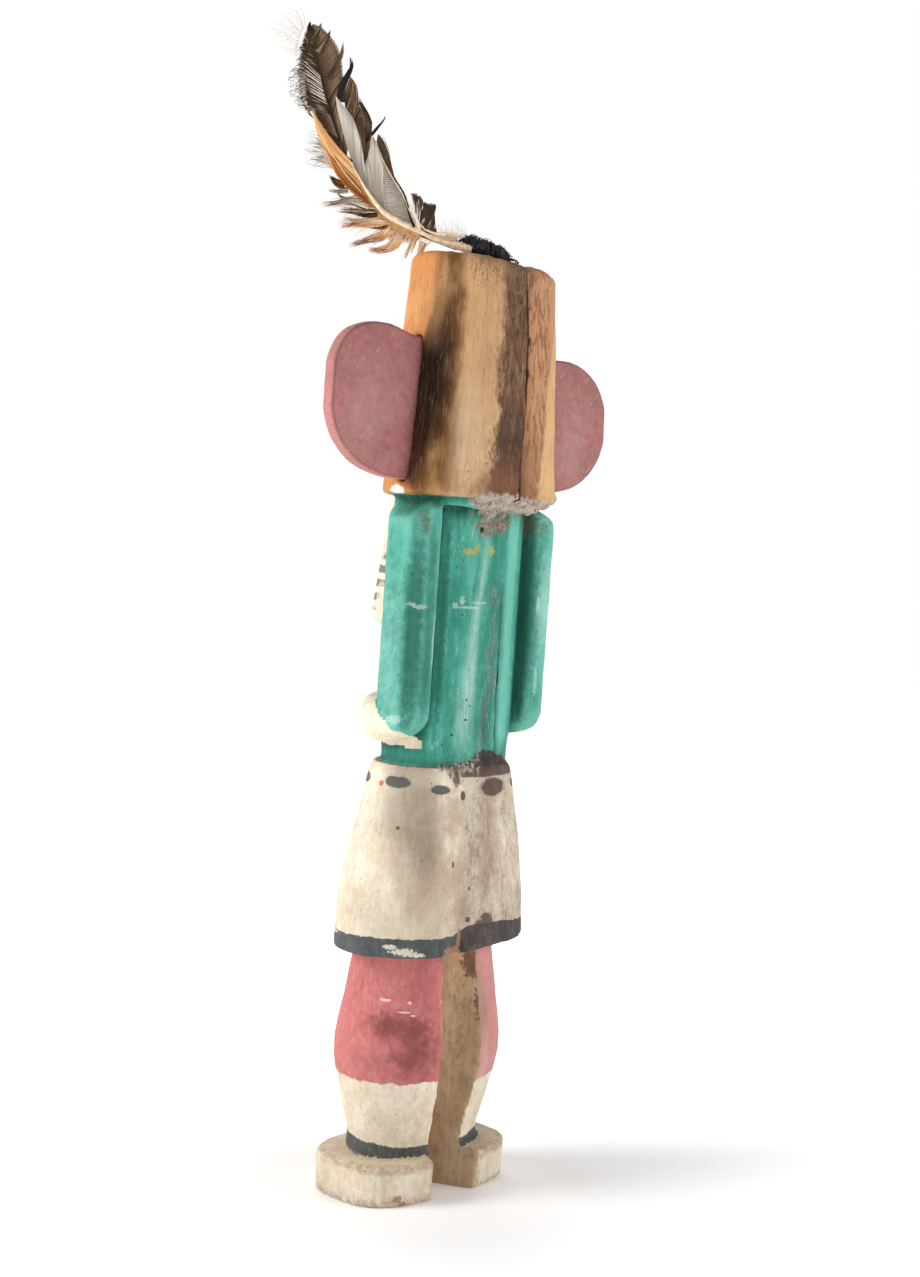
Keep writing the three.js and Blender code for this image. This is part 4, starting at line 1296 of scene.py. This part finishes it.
def wisps(plumage, roots, tips, count, tints, depth, curl=0.2, barb=0.2, wild=1.0):
    """Loose single barbs from a line of roots to a line of tips, with a random curl."""
    rng = plumage.random
    roots, tips = Line(roots), Line(tips)
    along = np.linspace(0, 1, 7)
    for k in range(count):
        t = (k + rng.random()) / count
        a, b = roots.at(t)[0], tips.at(np.clip(t + rng.normal(0, 0.05 * wild), 0, 1))[0]
        b = a + (b - a) * (1 - 0.45 * rng.random() * wild)
        across = np.array([-(b - a)[1], (b - a)[0]]) * curl * rng.normal(0.6, 0.5)
        middle = (a + b) / 2 + across
        lean = rng.normal(0, 0.6) * wild
        path = []
        for s in along:
            spot = bend(a, middle, b, s)
            path.append((*spot, depth + lean * s * s))
        shade = 1 + rng.normal(0, 0.1)
        colours = [np.clip(blend(tints[0], tints[1], s) * shade, 0, 1) for s in along]
        plumage.ribbon(path, barb / 2 * np.array([1, 1, 0.9, 0.8, 0.65, 0.45, 0.1]), colours,
                       0.05)


def fading(*stops):
    """A tint that runs through stops from a barb's root to its tip."""
    stops = np.array(stops, float)
    places = np.linspace(0, 1, len(stops))
    return lambda a: np.array([np.interp(a, places, stops[:, c]) for c in range(3)])


def speckled(rng, share, base, fleck, last=None):
    """A barb of one colour, with flecks of another at random along its outer part."""
    stops = [base] * 2 + [fleck if rng.random() < share else base for _ in range(7)]
    return fading(*stops, *([last] if last is not None else []))


def dark_feather(f):
    """The long dark feather: speckled and frayed on its left, in curled locks on its right."""
    plumage = Plumage(41)
    depth = -SPRAY_LAYER
    shaft = Line(((9.2, 5.2), (20.9, 8.8), (32.8, 13.6), (40.6, 22), (46.8, 31.2), (50, 38.3),
                  (52.9, 45.5), (55.2, 51.8), (57.5, 58.6), (59, 64.3), (60.1, 69.6),
                  (60.6, 73.4)))
    brown, light, black, white = f.brown, f.brown_light, f.black, f.white
    deep = blend(brown, black, 0.6)
    roots = ((46.8, 31.2), (50, 38.3), (52.9, 45.5), (55.2, 51.8), (57.5, 58.6), (59, 64.3),
             (60.4, 72.6))

    def left_tint(t, rng):
        pale = 0.02 + 0.06 * (0.3 < t < 0.78)
        return speckled(rng, pale, blend(brown, deep, 1.2 * rng.random()),
                        blend(light, white, 0.3 + 0.7 * rng.random()))

    def right_tint(t, rng):
        if rng.random() < 0.07:
            return fading(deep, black, black, deep)
        tone = blend(brown, light, 0.6 * rng.random() + 0.2 * (t < 0.5))
        return fading(deep, brown, tone, blend(tone, light, 0.5), blend(tone, black, 0.3))

    sheet(plumage, roots, ((50.6, 34.6), (54.4, 38.5), (57.4, 43.4), (61.2, 47.4), (63.8, 51.7),
                           (65.2, 58.5), (65, 63.9), (64, 68.7), (62.6, 72), (60.7, 73.9)),
          left_tint, depth, 0.05, 0.14, (3, 7), 0.6, 0.17, 0.34, 0.6, 0.9)
    sheet(plumage, roots, ((46.5, 36.5), (48.5, 42), (49.6, 47), (50, 52), (49.4, 57),
                           (49.8, 61.2), (50.9, 65.9), (53, 69.2), (55.3, 71.4), (57.6, 73.2),
                           (60.4, 74)), right_tint, depth, 0.06, 0.06, (14, 26), 0.35, 0.24,
          0.46, 0.6, 0.85)
    # its ragged tip
    for row in (
            (((54.4, 57), (52, 61.4), (50.6, 65), (50.2, 69)), 1.0, 14,
             ((deep, brown), (brown, light)), depth + 0.5, 0.5),
            (((58.4, 65), (55.8, 69), (54.6, 72.4)), 1.0, 14, ((brown, deep), (light, brown)),
             depth + 0.6, 0.6),
            (((60, 69), (58.6, 72), (57.6, 74.6)), 1.0, 12, ((deep, black), (brown, light)),
             depth + 0.5, 0.6),
            (((60.6, 70), (61.6, 72.4), (61.4, 74.8)), 0.9, 12, ((deep, black),), depth + 0.5,
             0.6)):
        lock(plumage, *row)
    # the second vane behind it, in broad brown locks
    back = depth - 0.9
    sheet(plumage, ((41.1, 30.5), (42.6, 36.3), (45.2, 42.5), (48.4, 48.8)), (
        (40.6, 31), (39.2, 35.4), (39, 41.3), (41.5, 47), (44.9, 52.2), (46, 57), (47.4, 58.6)),
        right_tint, back, 0.08, 0.07, (10, 18), 0.6, 0.22, 0.46, 0.5)
    browns = ((brown, light), (brown, light), (deep, brown))
    for row in (
            (((44.6, 45), (43.2, 40), (42.2, 35.5), (41, 30.2)), 1.9, 22, browns, back + 0.9,
             0.5),
            (((41.5, 38), (40.4, 44), (42.8, 49), (45.2, 52.6)), 1.2, 14,
             ((deep, black), (brown, deep)), back + 0.5, 0.6),
            (((46.6, 47), (45.8, 52.4), (46.2, 56), (48, 58.6)), 1.7, 18,
             ((brown, light), (light, light)), back + 0.4, 0.5),
            (((50, 49.6), (49.7, 54.4), (48, 58.4), (46.9, 61.2), (47.9, 64.2)), 1.3, 20,
             ((black, black), (deep, black)), depth + 1.0, 0.4),
            (((39.3, 40), (37.3, 42.8), (35.5, 45.3), (35.1, 46.4)), 0.45, 6, ((black, deep),),
             depth, 0.3),
            (((31.6, 26), (33.4, 31.8), (34.1, 35), (35.2, 38.1), (37.4, 40.8)), 0.9, 12,
             ((brown, light), (deep, deep)), back, 0.6)):
        lock(plumage, *row)
    wisps(plumage, ((63.4, 73), (64.4, 69.8), (65.4, 63.9)), (
        (66.7, 80.5), (72.5, 77.8), (76, 72.8), (74, 67.6), (70.6, 65.2)), 46,
        (white, white), depth, 0.3, 0.16)
    fringes = (
        (((64.4, 71), (66.2, 66), (66.6, 58), (65.6, 50.4), (61.6, 44.6)), (light, white), 16),
        (((65.2, 72), (66.8, 64), (68, 56), (65, 47), (60, 43.6)), (white, white), 8),
        (((63.6, 69), (65.6, 62), (66.4, 54), (64.4, 48), (60.6, 45.4)), (deep, black), 130))
    for tips, tints, count in fringes:
        wisps(plumage, ((62, 68), (63, 62), (63, 55), (61.6, 48.6), (58.4, 44)), tips, count,
              tints, depth + 0.6, 0.5, 0.2, 1.6)
    for row in (
            (((65, 60), (65, 52), (62, 47)), ((67.4, 59), (67, 51), (63, 46)), 26, (white, black),
             depth + 0.5, 0.6, 0.3),
            (((57.2, 58), (55.8, 53), (54.2, 48.4)), ((63.8, 63.2), (62.8, 57), (60, 51)), 15,
             (blend(light, white, 0.7), white), depth + 0.8, 0.05, 0.26, 0.4),
            (((62, 58), (61, 50)), ((66.4, 56.4), (63.6, 47.4)), 26, (light, white), depth + 0.9,
             0.5, 0.24),
            (((53, 45), (50, 38)), ((57, 47.4), (54, 41)), 24, (light, brown), depth + 0.7, 0.05,
             0.2, 0.5)):
        wisps(plumage, *row)
    plumage.shaft(shaft, depth + 0.5, np.linspace(0.56, 0.12, 44), [f.horn] * 44, flat=0.8)
    return plumage


def rust_feather(f):
    """The feather in front: ivory quill, orange edge, pale right vane and a ragged left."""
    plumage = Plumage(43)
    depth = SPRAY_LAYER
    shaft = Line(((4.4, 4.5), (13.7, 6.6), (20.9, 9.3), (27.6, 11.5), (32.6, 13.9),
                  (37.8, 18.9), (42.5, 25.5), (45.4, 30)))
    white, grey, rust = f.white, f.grey, f.rust
    black, brown, ivory = f.black, f.brown, f.ivory
    red, apricot = blend(rust, black, 0.5), f.apricot

    def pale(t, rng):
        shade = blend(grey, white, 0.16 + 0.5 * rng.random() * (1 - t))
        return fading(blend(grey, black, 0.16), grey, shade, blend(shade, white, 0.5))

    def orange(t, rng):
        warm = blend(apricot, rust, 0.25)
        low = blend(red, rust, smooth_step(t, 0.05, 0.6))
        if rng.random() < 0.1:
            low = blend(low, black, 0.5)
        return fading(warm, blend(warm, low, 0.8 - 0.6 * t), blend(low, warm, 0.8 * t),
                      blend(low, warm, 0.3 + 0.6 * t))

    sheet(plumage, ((44.6, 30), (43.5, 27.6), (40.7, 23.5), (38.2, 20)), (
        (51.4, 50.8), (48.6, 47.8), (45.3, 43.9), (43.4, 39.7), (42, 35.1), (40.8, 28.8)),
        pale, depth - 0.5, -0.02, 0.03, (18, 30), 0.25, 0.2, 0.46, 0.8)
    sheet(plumage, ((38.4, 20.4), (34.9, 15.9), (32.8, 13.8)), (
        (40.8, 28.8), (39.5, 34.2), (38.8, 39), (36.7, 35.4), (35.1, 31.3), (34.4, 24),
        (33.6, 17)), pale, depth - 0.6, 0.02, 0.03, (18, 30), 0.25, 0.2, 0.46, 0.6)
    sheet(plumage, ((35.5, 16), (37.8, 18.9), (42.5, 25.5), (45.6, 30.6)), (
        (41, 18.4), (45.5, 21.5), (48.9, 24.5), (51.3, 28.1), (53.1, 31.7), (55, 35.3),
        (56.8, 38.9), (58.6, 45.6)), orange, depth, -0.04, 0.03, (16, 26), 0.25, 0.22, 0.5, 0.5)
    for row in (
            (((43, 25), (48, 29.4), (52.4, 33.8), (56, 39.4), (58.6, 45.8)), 1.1, 18,
             ((apricot, apricot), (rust, apricot)), depth + 0.5, 0.2),
            (((39.5, 18), (44.6, 21.6), (49, 26), (52.4, 31.4)), 0.9, 18,
             ((red, red), (red, rust), (rust, apricot)), depth + 0.6, 0.3, 0.26),
            (((41, 20.4), (45.4, 24.6), (49.6, 29.6), (53.6, 36)), 0.5, 10,
             ((apricot, apricot), (red, apricot)), depth + 0.8, 0.3, 0.22),
            (((44.8, 30), (47.8, 32), (50.6, 32.2)), 0.5, 10, ((black, brown), (white, white)),
             depth - 0.4, 0.8)):
        lock(plumage, *row)
    # the ragged left side: loose barbs, then a close fringe, then locks of all its colours
    lock(plumage, ((46.6, 22.6), (49, 23), (52, 25.4)), 1.4, 20, ((brown, black), (red, brown)),
         depth - 0.5)
    tufts = ((((60.6, 38.7), (61, 34.6), (60.8, 29)), (white, black)),
             (((57.4, 38), (59.6, 33), (58, 27.4)), (apricot, black)),
             (((62, 37), (60.4, 31), (59.6, 26)), (white, white)))
    for tips, tints in tufts:
        wisps(plumage, ((54, 35), (52.8, 31.4), (50.8, 27.6)), tips, 22, tints, depth - 0.6,
              0.45, 0.22)
    cream, dusk = blend(white, ivory, 0.5), blend(brown, rust, 0.3)
    mixed = ((cream, black), (black, cream), (dusk, cream), (cream, dusk), (dusk, black))
    warm = ((apricot, rust), (apricot, dusk), (cream, rust), (apricot, cream))
    rows = (
        (((45.5, 21.1), (49, 20.4), (52, 20.4)), 1.0, 14, mixed),
        (((42.5, 18.8), (46.4, 18.2), (49.4, 19.6)), 0.9, 12, mixed),
        (((38.4, 16.4), (44, 17.6), (50, 16.4), (54.6, 15.7)), 1.5, 30, mixed),
        (((39.4, 17.6), (43.6, 18.4), (47.4, 18)), 0.8, 12, ((black, black), (dusk, black))),
        (((36.4, 14.6), (42, 14.4), (48.8, 14.6)), 1.3, 24, mixed),
        (((35.6, 13.8), (39.6, 13.2), (43, 13.4)), 0.7, 12, ((black, black), (dusk, black))),
        (((34, 12.6), (40, 11.6), (47.6, 12)), 1.1, 20, warm),
        (((31.8, 10.6), (39, 10.6), (48.5, 9.6)), 1.5, 26, warm),
        (((31.8, 10.2), (35.4, 9.4), (38, 9.4)), 0.6, 9, ((black, dusk),)),
        (((30.4, 9), (36.9, 6), (44.6, 3)), 1.3, 24, ((dusk, cream), (apricot, dusk),
                                                      (cream, dusk))),
        (((28, 8.4), (29.4, 5), (33.5, 2.9), (38.2, 2.5)), 1.9, 36, warm),
        (((31, 10), (34, 6.6), (38.4, 5)), 1.6, 22, warm),
        (((23.8, 7.4), (24.9, 3.2), (26.5, -0.4)), 0.6, 9, warm),
        (((22.6, 7), (23.4, 4), (24, 1.6)), 0.5, 7, ((apricot, cream),)),
        (((20.7, 6.2), (22, 0.8), (24.1, -3.4)), 0.6, 10, warm),
        (((19.4, 5.8), (20.8, 2), (22, -0.6)), 0.4, 6, ((apricot, cream),)))
    for k, (spine, half, count, palette) in enumerate(rows):
        lock(plumage, spine, half, int(count * 1.5), palette, depth - 0.5 + 0.25 * (k % 3), 1.5,
             0.24)

    def fringe(t, rng):
        root, tip = (mixed if t > 0.6 else warm)[int(rng.integers(4))]
        return fading(apricot, blend(apricot, root, 0.7), tip)

    sheet(plumage, ((21, 8.6), (27.6, 11), (32.6, 13.4), (37.8, 18.2), (41, 22)), (
        (22, 5), (28.6, 4.6), (36, 7), (42, 12.4), (45.6, 20)), fringe, depth - 0.7, 0.1, 0.35,
        (5, 12), 0.8, 0.2, 0.3, 0.3)
    for row in (
            (((40, 18), (34, 13), (28, 9)), ((52, 12), (46, 6), (37, 1.6)), 60, (apricot, cream),
             depth - 0.2, 0.25, 0.18),
            (((33, 12.4), (26, 9), (17, 6.6)), ((37, 6), (27, 4), (19, 3.4)), 50,
             (apricot, cream), depth, 0.3, 0.16)):
        wisps(plumage, *row)
    along = np.linspace(0, 1, 44)
    tints = [blend(ivory, rust, 0.25 * smooth_step(t, 0.5, 0.9)) for t in along]
    radii = 1.4 - 0.5 * smooth_step(along, 0, 0.6) - 0.7 * smooth_step(along, 0.5, 1)
    plumage.shaft(shaft, depth + 0.6, radii, tints, 12, 0.85)
    return plumage


def grey_feather(f):
    """A pale feather behind the rust one, with a dark brown right edge."""
    plumage = Plumage(47)
    shaft = Line(((9.2, 7.6), (15.5, 8.2), (21.6, 10.4), (25.2, 16.3), (27.7, 21), (31.2, 25.6),
                  (34.8, 31.2), (37.9, 37.8)))
    white, grey, black = f.white, f.grey, f.black
    brown, light = f.brown, f.brown_light

    def pale(t, rng):
        return fading(blend(grey, white, 0.2), blend(grey, white, 0.35), blend(grey, white, 0.7),
                      blend(grey, white, 0.3 + 0.3 * rng.random()))

    def edge(t, rng):
        return fading(blend(brown, black, 0.5), blend(brown, light, 0.4 * rng.random()), brown)

    sheet(plumage, ((21.6, 10.4), (25.2, 16.3), (27.7, 21), (31.2, 25.6), (34.8, 31.2),
                    (37.2, 36)), (
        (27, 10.2), (30.4, 12), (33.2, 14.6), (34.8, 19), (35.3, 24), (35.1, 29), (37.6, 37.6)),
        pale, 0.3, 0.02, 0.02, (20, 34), 0.15, 0.22, 0.5, 0.5)
    sheet(plumage, ((28.3, 22), (31.2, 25.6), (34.8, 31.2), (37, 35.6)), (
        (28.4, 22.8), (31.2, 27.4), (33, 31.8), (33.7, 35), (34.9, 38.1), (37.3, 40.4)), edge,
        0.1, 0.05, 0.1, (8, 14), 0.5, 0.22, 0.42, 0.3)
    lock(plumage, ((25.6, 17), (28.2, 22.3), (31.8, 27)), 0.3, 6, ((black, black),), 0.9, 0.2)
    tints = [blend(f.ivory, grey, 0.3)] * 34
    plumage.shaft(shaft, 0.8, np.linspace(0.6, 0.14, 34), tints, flat=0.8)
    return plumage


def flag_fragment(f):
    """A torn scrap of dark feather with holes, and pale down round its foot."""
    plumage = Plumage(53)
    depth = 2 * SPRAY_LAYER
    white, black, brown = f.white, f.black, f.brown
    dark, cream = blend(black, brown, 0.4), blend(white, f.ivory, 0.4)

    def scrap(t, rng):
        return speckled(rng, 0.05, blend(dark, brown, 0.3 * rng.random()), cream)

    sheet(plumage, ((23.4, 13.5), (22, 10.6), (19.3, 8.6), (16.4, 8.2)), (
        (25, 21), (22.5, 20.9), (20.6, 18.6), (17, 17.8), (17, 14.5), (16.2, 9.4)), scrap,
        depth, 0.05, 0.08, (7, 13), 0.4, 0.15, 0.42, 0.4)
    for row in (
            (((21.5, 9.6), (23.4, 14), (26.5, 19)), 0.45, 9, ((cream, white),), depth + 0.5, 0.4),
            (((23.4, 10), (25, 13.4), (26.2, 16)), 0.3, 6, ((black, black),), depth + 0.3, 0.3)):
        lock(plumage, *row)
    for row in (
            (((24, 14), (22, 10)), ((25, 20.6), (21.6, 17)), 8, (cream, white), depth + 0.8, 0.1,
             0.24, 0.6),
            (((16, 7.4), (12, 6.8), (7.6, 8)), ((16.6, 14), (11.6, 15.4), (6.4, 11)), 60,
             (cream, white), depth - 0.6, 0.6, 0.16, 1.6),
            (((15, 7.4), (9, 7.4)), ((19, 9), (13, 9.6)), 24, (cream, white), depth, 0.5, 0.2)):
        wisps(plumage, *row)
    spine = [(9.2, 8.6, depth), (13, 8.2, depth), (16.8, 8.6, depth), (20, 9.6, depth),
             (23.6, 13.6, depth), (26.2, 18.6, depth)]
    plumage.tube(spine, (0.6, 0.6, 0.5, 0.4, 0.25, 0.12), [cream] * 6, 1)
    return plumage


class DOLL_OT_lay_feathers(bpy.types.Operator):
    """Lay the four feathers in their plane, barb by barb, each on its own shaft"""
    bl_idname = "doll.lay_feathers"
    bl_label = "Lay the feathers"

    def execute(self, context):
        f = settings("doll_feathers")
        barbs = barb_finish()
        horn = shaft_finish("black_horn_shaft", f.horn, (0.06, 0.05, 0.045), 0.35)
        ivory = shaft_finish("ivory_quill", f.ivory, (0.66, 0.5, 0.33), 0.4)
        rows = (("feather_dark", dark_feather, horn, "dark_feather"),
                ("feather_rust", rust_feather, ivory, "rust_feather"),
                ("feather_grey", grey_feather, ivory, "grey_feather"),
                ("feather_flag", flag_fragment, ivory, "dark_feather"))
        for node, make, shaft, slot in rows:
            piece = make(f).build("plume_" + node, (barbs, shaft))
            finish_piece(piece, node)
        return {"FINISHED"}


class DOLL_OT_wind_binding(bpy.types.Operator):
    """Wind the dark yarn round the quills, with loose fibres at its tail"""
    bl_idname = "doll.wind_binding"
    bl_label = "Wind the binding"

    def execute(self, context):
        f = settings("doll_feathers")
        yarn = Plumage(59)
        rng = yarn.random
        tint = [f.yarn] * 40

        def round_core(out, q, rise):
            """A point on the lumpy bundle: out along it, q round it, rise above its skin."""
            end = min(1, max(0.0, 1 - ((out - 0.2) / 8.4) ** 2)) ** 0.4
            lump = 0.35 * math.sin(out * 1.3 + 2 * q) + 0.3 * math.sin(out * 0.7 - q)
            return (out, 4.9 + 0.27 * out + (2.9 * end + rise + 0.4 * lump) * math.sin(q),
                    (3.8 * end + rise + 0.5 * lump) * math.cos(q))

        core = [(a, 4.9 + 0.27 * a, 0) for a in np.linspace(7.4, -7.0, 14)]
        yarn.tube(core, 1.2 + 1.6 * np.sin(np.linspace(0.1, 3.0, 14)), tint, 0, 12)
        for k in range(120):
            out, q = rng.uniform(-7.4, 7.6), rng.uniform(0, 2 * math.pi)
            sweep, drift, rise = rng.uniform(2, 5), rng.normal(0, 1.6), rng.uniform(-0.2, 0.5)
            path = [round_core(out + drift * s + 0.3 * math.sin(9 * s + k), q + sweep * s,
                               rise - 0.5 * (abs(2 * s - 1) > 0.9)) for s in np.linspace(0, 1, 16)]
            thick = rng.uniform(0.22, 0.5)
            yarn.tube(path, [thick * (0.8 + 0.3 * math.sin(k + 3 * s)) for s in range(16)],
                      tint, 0, 5)
        for k in range(110):
            out, q = rng.uniform(-7.4, 7.6), rng.uniform(0, 2 * math.pi)
            sweep, drift = rng.uniform(0.6, 2.4), rng.normal(0, 1.8)
            path = [round_core(out + drift * s, q + sweep * s, 0.5 + 1.2 * s * rng.random())
                    for s in np.linspace(0, 1, 7)]
            yarn.ribbon(path, 0.11 * np.array([0.5, 1, 1, 1, 0.9, 0.7, 0.2]), tint, 0.1)
        for k in range(30):
            start = np.array((-6.4, 3.2 + rng.normal(0, 0.9), rng.normal(0, 1.4)))
            end = start + (-2.6 * rng.random() - 0.6, -2.0 * rng.random(), rng.normal(0, 1.2))
            path = [blend(start, end, s) + (0, -0.4 * s * s, 0) for s in np.linspace(0, 1, 5)]
            yarn.ribbon(path, 0.18 * np.array([1, 1, 0.8, 0.6, 0.15]), tint, 0.1)
        piece = yarn.build("wound_yarn_binding", (yarn_finish(f),))
        finish_piece(piece, "binding")
        return {"FINISHED"}


# ---- the stage --------------------------------------------------------------------------------

def area_light(name, place, aim, size, power):
    light = bpy.data.lights.new(name, "AREA")
    light.shape, light.size, light.energy = "DISK", size, power
    lamp = new_piece(name, light)
    lamp.location = place
    lamp.rotation_euler = (aim - place).to_track_quat("-Z", "Y").to_euler()


def paper_finish(stage):
    """White paper with a faint tooth, which glows a little more further off."""
    s = Finish("backdrop_paper", 0.9, specular=0.1, placed=False)
    s.place = s.node("TexCoord", "Object")
    paper = s.mix(s.noise(90, 3) * 0.04, stage.paper, (0.9, 0.9, 0.9))
    s.feed(s.surface["Base Color"], paper)
    far = s.node("VectorMath", "Value", {0: s.place}, operation="LENGTH")
    s.feed(s.surface["Emission Color"], (1, 1, 1))
    s.feed(s.surface["Emission Strength"], far.curve((0.05, 0.1), (0.14, 0.34), (0.4, 0.85)))
    return s.material


def white_room(light):
    """A white room that lights softly; its walls look white to the camera."""
    world = bpy.data.worlds.new("Studio")
    world.use_nodes = True
    s = Shader(world.node_tree)
    seen = s.node("LightPath", "Is Camera Ray")
    sky = world.node_tree.nodes["Background"].inputs
    s.feed(sky["Color"], (1, 1, 1))
    s.feed(sky["Strength"], seen * (1 - light) + light)
    return world


def camera_behind(stage):
    """A camera behind the doll on its left, which looks almost level."""
    lens = bpy.data.cameras.new("camera")
    lens.lens, lens.sensor_width, lens.sensor_fit = stage.lens_mm, 36, "AUTO"
    lens.shift_x, lens.clip_start, lens.clip_end = stage.shift, 0.01, 20
    camera = new_piece("camera", lens)
    side, pitch, roll = stage.side, stage.pitch, stage.roll
    out = Vector((math.sin(side), math.cos(side), 0))
    camera.location = (out * stage.distance_mm + Vector((0, SHIFT_Y, stage.height_mm))) * MM
    look = -out * math.cos(pitch) - Vector((0, 0, math.sin(pitch)))
    right = Vector((-math.cos(side), math.sin(side), 0))
    top = right.cross(look)
    tilted_right = right * math.cos(roll) + top * math.sin(roll)
    tilted_top = top * math.cos(roll) - right * math.sin(roll)
    camera.rotation_euler = Matrix((tilted_right, tilted_top, -look)).transposed().to_euler()
    return camera


class DOLL_OT_set_stage(bpy.types.Operator):
    """Set the pale floor, the soft lights and the camera"""
    bl_idname = "doll.set_stage"
    bl_label = "Set the stage"

    def execute(self, context):
        stage, scene = settings("doll_stage"), context.scene
        low, high = CAD_BOX
        bpy.ops.mesh.primitive_plane_add(size=FLOOR_SIZE,
                                         location=(0, 0, low.z - FLOOR_GAP * MM))
        floor = context.active_object
        floor.name = "studio_floor"
        floor.data.materials.append(paper_finish(stage))
        middle, up = Vector((0, 0, high.z * 0.5)), Vector((0, 0, 1))
        toward = Vector((math.sin(stage.side), math.cos(stage.side), 0))
        left = Vector((toward.y, -toward.x, 0))
        area_light("key", left * 1.05 + toward * 0.3 + up * 0.75, middle, 0.6, stage.key)
        area_light("fill", left * -1.1 + toward * 0.35 + up * 0.6, middle, 0.7,
                   stage.fill * 1.5)
        area_light("front_fill", toward * -1.1 + left * 0.3 + up * 0.7, middle, 0.9,
                   stage.fill)
        scene.world = white_room(stage.room)
        scene.camera = camera_behind(stage)
        scene.view_settings.view_transform = "Standard"
        return {"FINISHED"}


class DOLL_PT_sidebar(bpy.types.Panel):
    """Lists the steps that build the doll and the settings that they read"""
    bl_label = "Kachina Doll"
    bl_idname = "DOLL_PT_sidebar"
    bl_space_type = "VIEW_3D"
    bl_region_type = "UI"
    bl_category = "Doll"

    def draw(self, context):
        for operator in STEPS:
            self.layout.operator(operator.bl_idname)
        for key in GROUPS:
            held, box = getattr(context.scene, key), self.layout.box()
            for name in held.__annotations__:
                box.prop(held, name)


STEPS = (DOLL_OT_carve_figure, DOLL_OT_cut_ears, DOLL_OT_wind_binding, DOLL_OT_lay_feathers,
         DOLL_OT_set_stage)
CLASSES = (*GROUPS.values(), *STEPS, DOLL_PT_sidebar)


def register():
    for held in CLASSES:
        bpy.utils.register_class(held)
    bpy.types.Scene.doll_paint = bpy.props.PointerProperty(type=DollPaint)
    bpy.types.Scene.doll_carving = bpy.props.PointerProperty(type=DollCarving)
    bpy.types.Scene.doll_feathers = bpy.props.PointerProperty(type=DollFeathers)
    bpy.types.Scene.doll_stage = bpy.props.PointerProperty(type=DollStage)


def unregister():
    for key in GROUPS:
        delattr(bpy.types.Scene, key)
    for held in reversed(CLASSES):
        bpy.utils.unregister_class(held)


def main():
    register()
    bpy.ops.object.select_all(action="DESELECT")
    bpy.ops.doll.carve_figure()
    bpy.ops.doll.cut_ears()
    bpy.ops.doll.wind_binding()
    bpy.ops.doll.lay_feathers()
    bpy.ops.doll.set_stage()


if __name__ == "__main__":
    main()
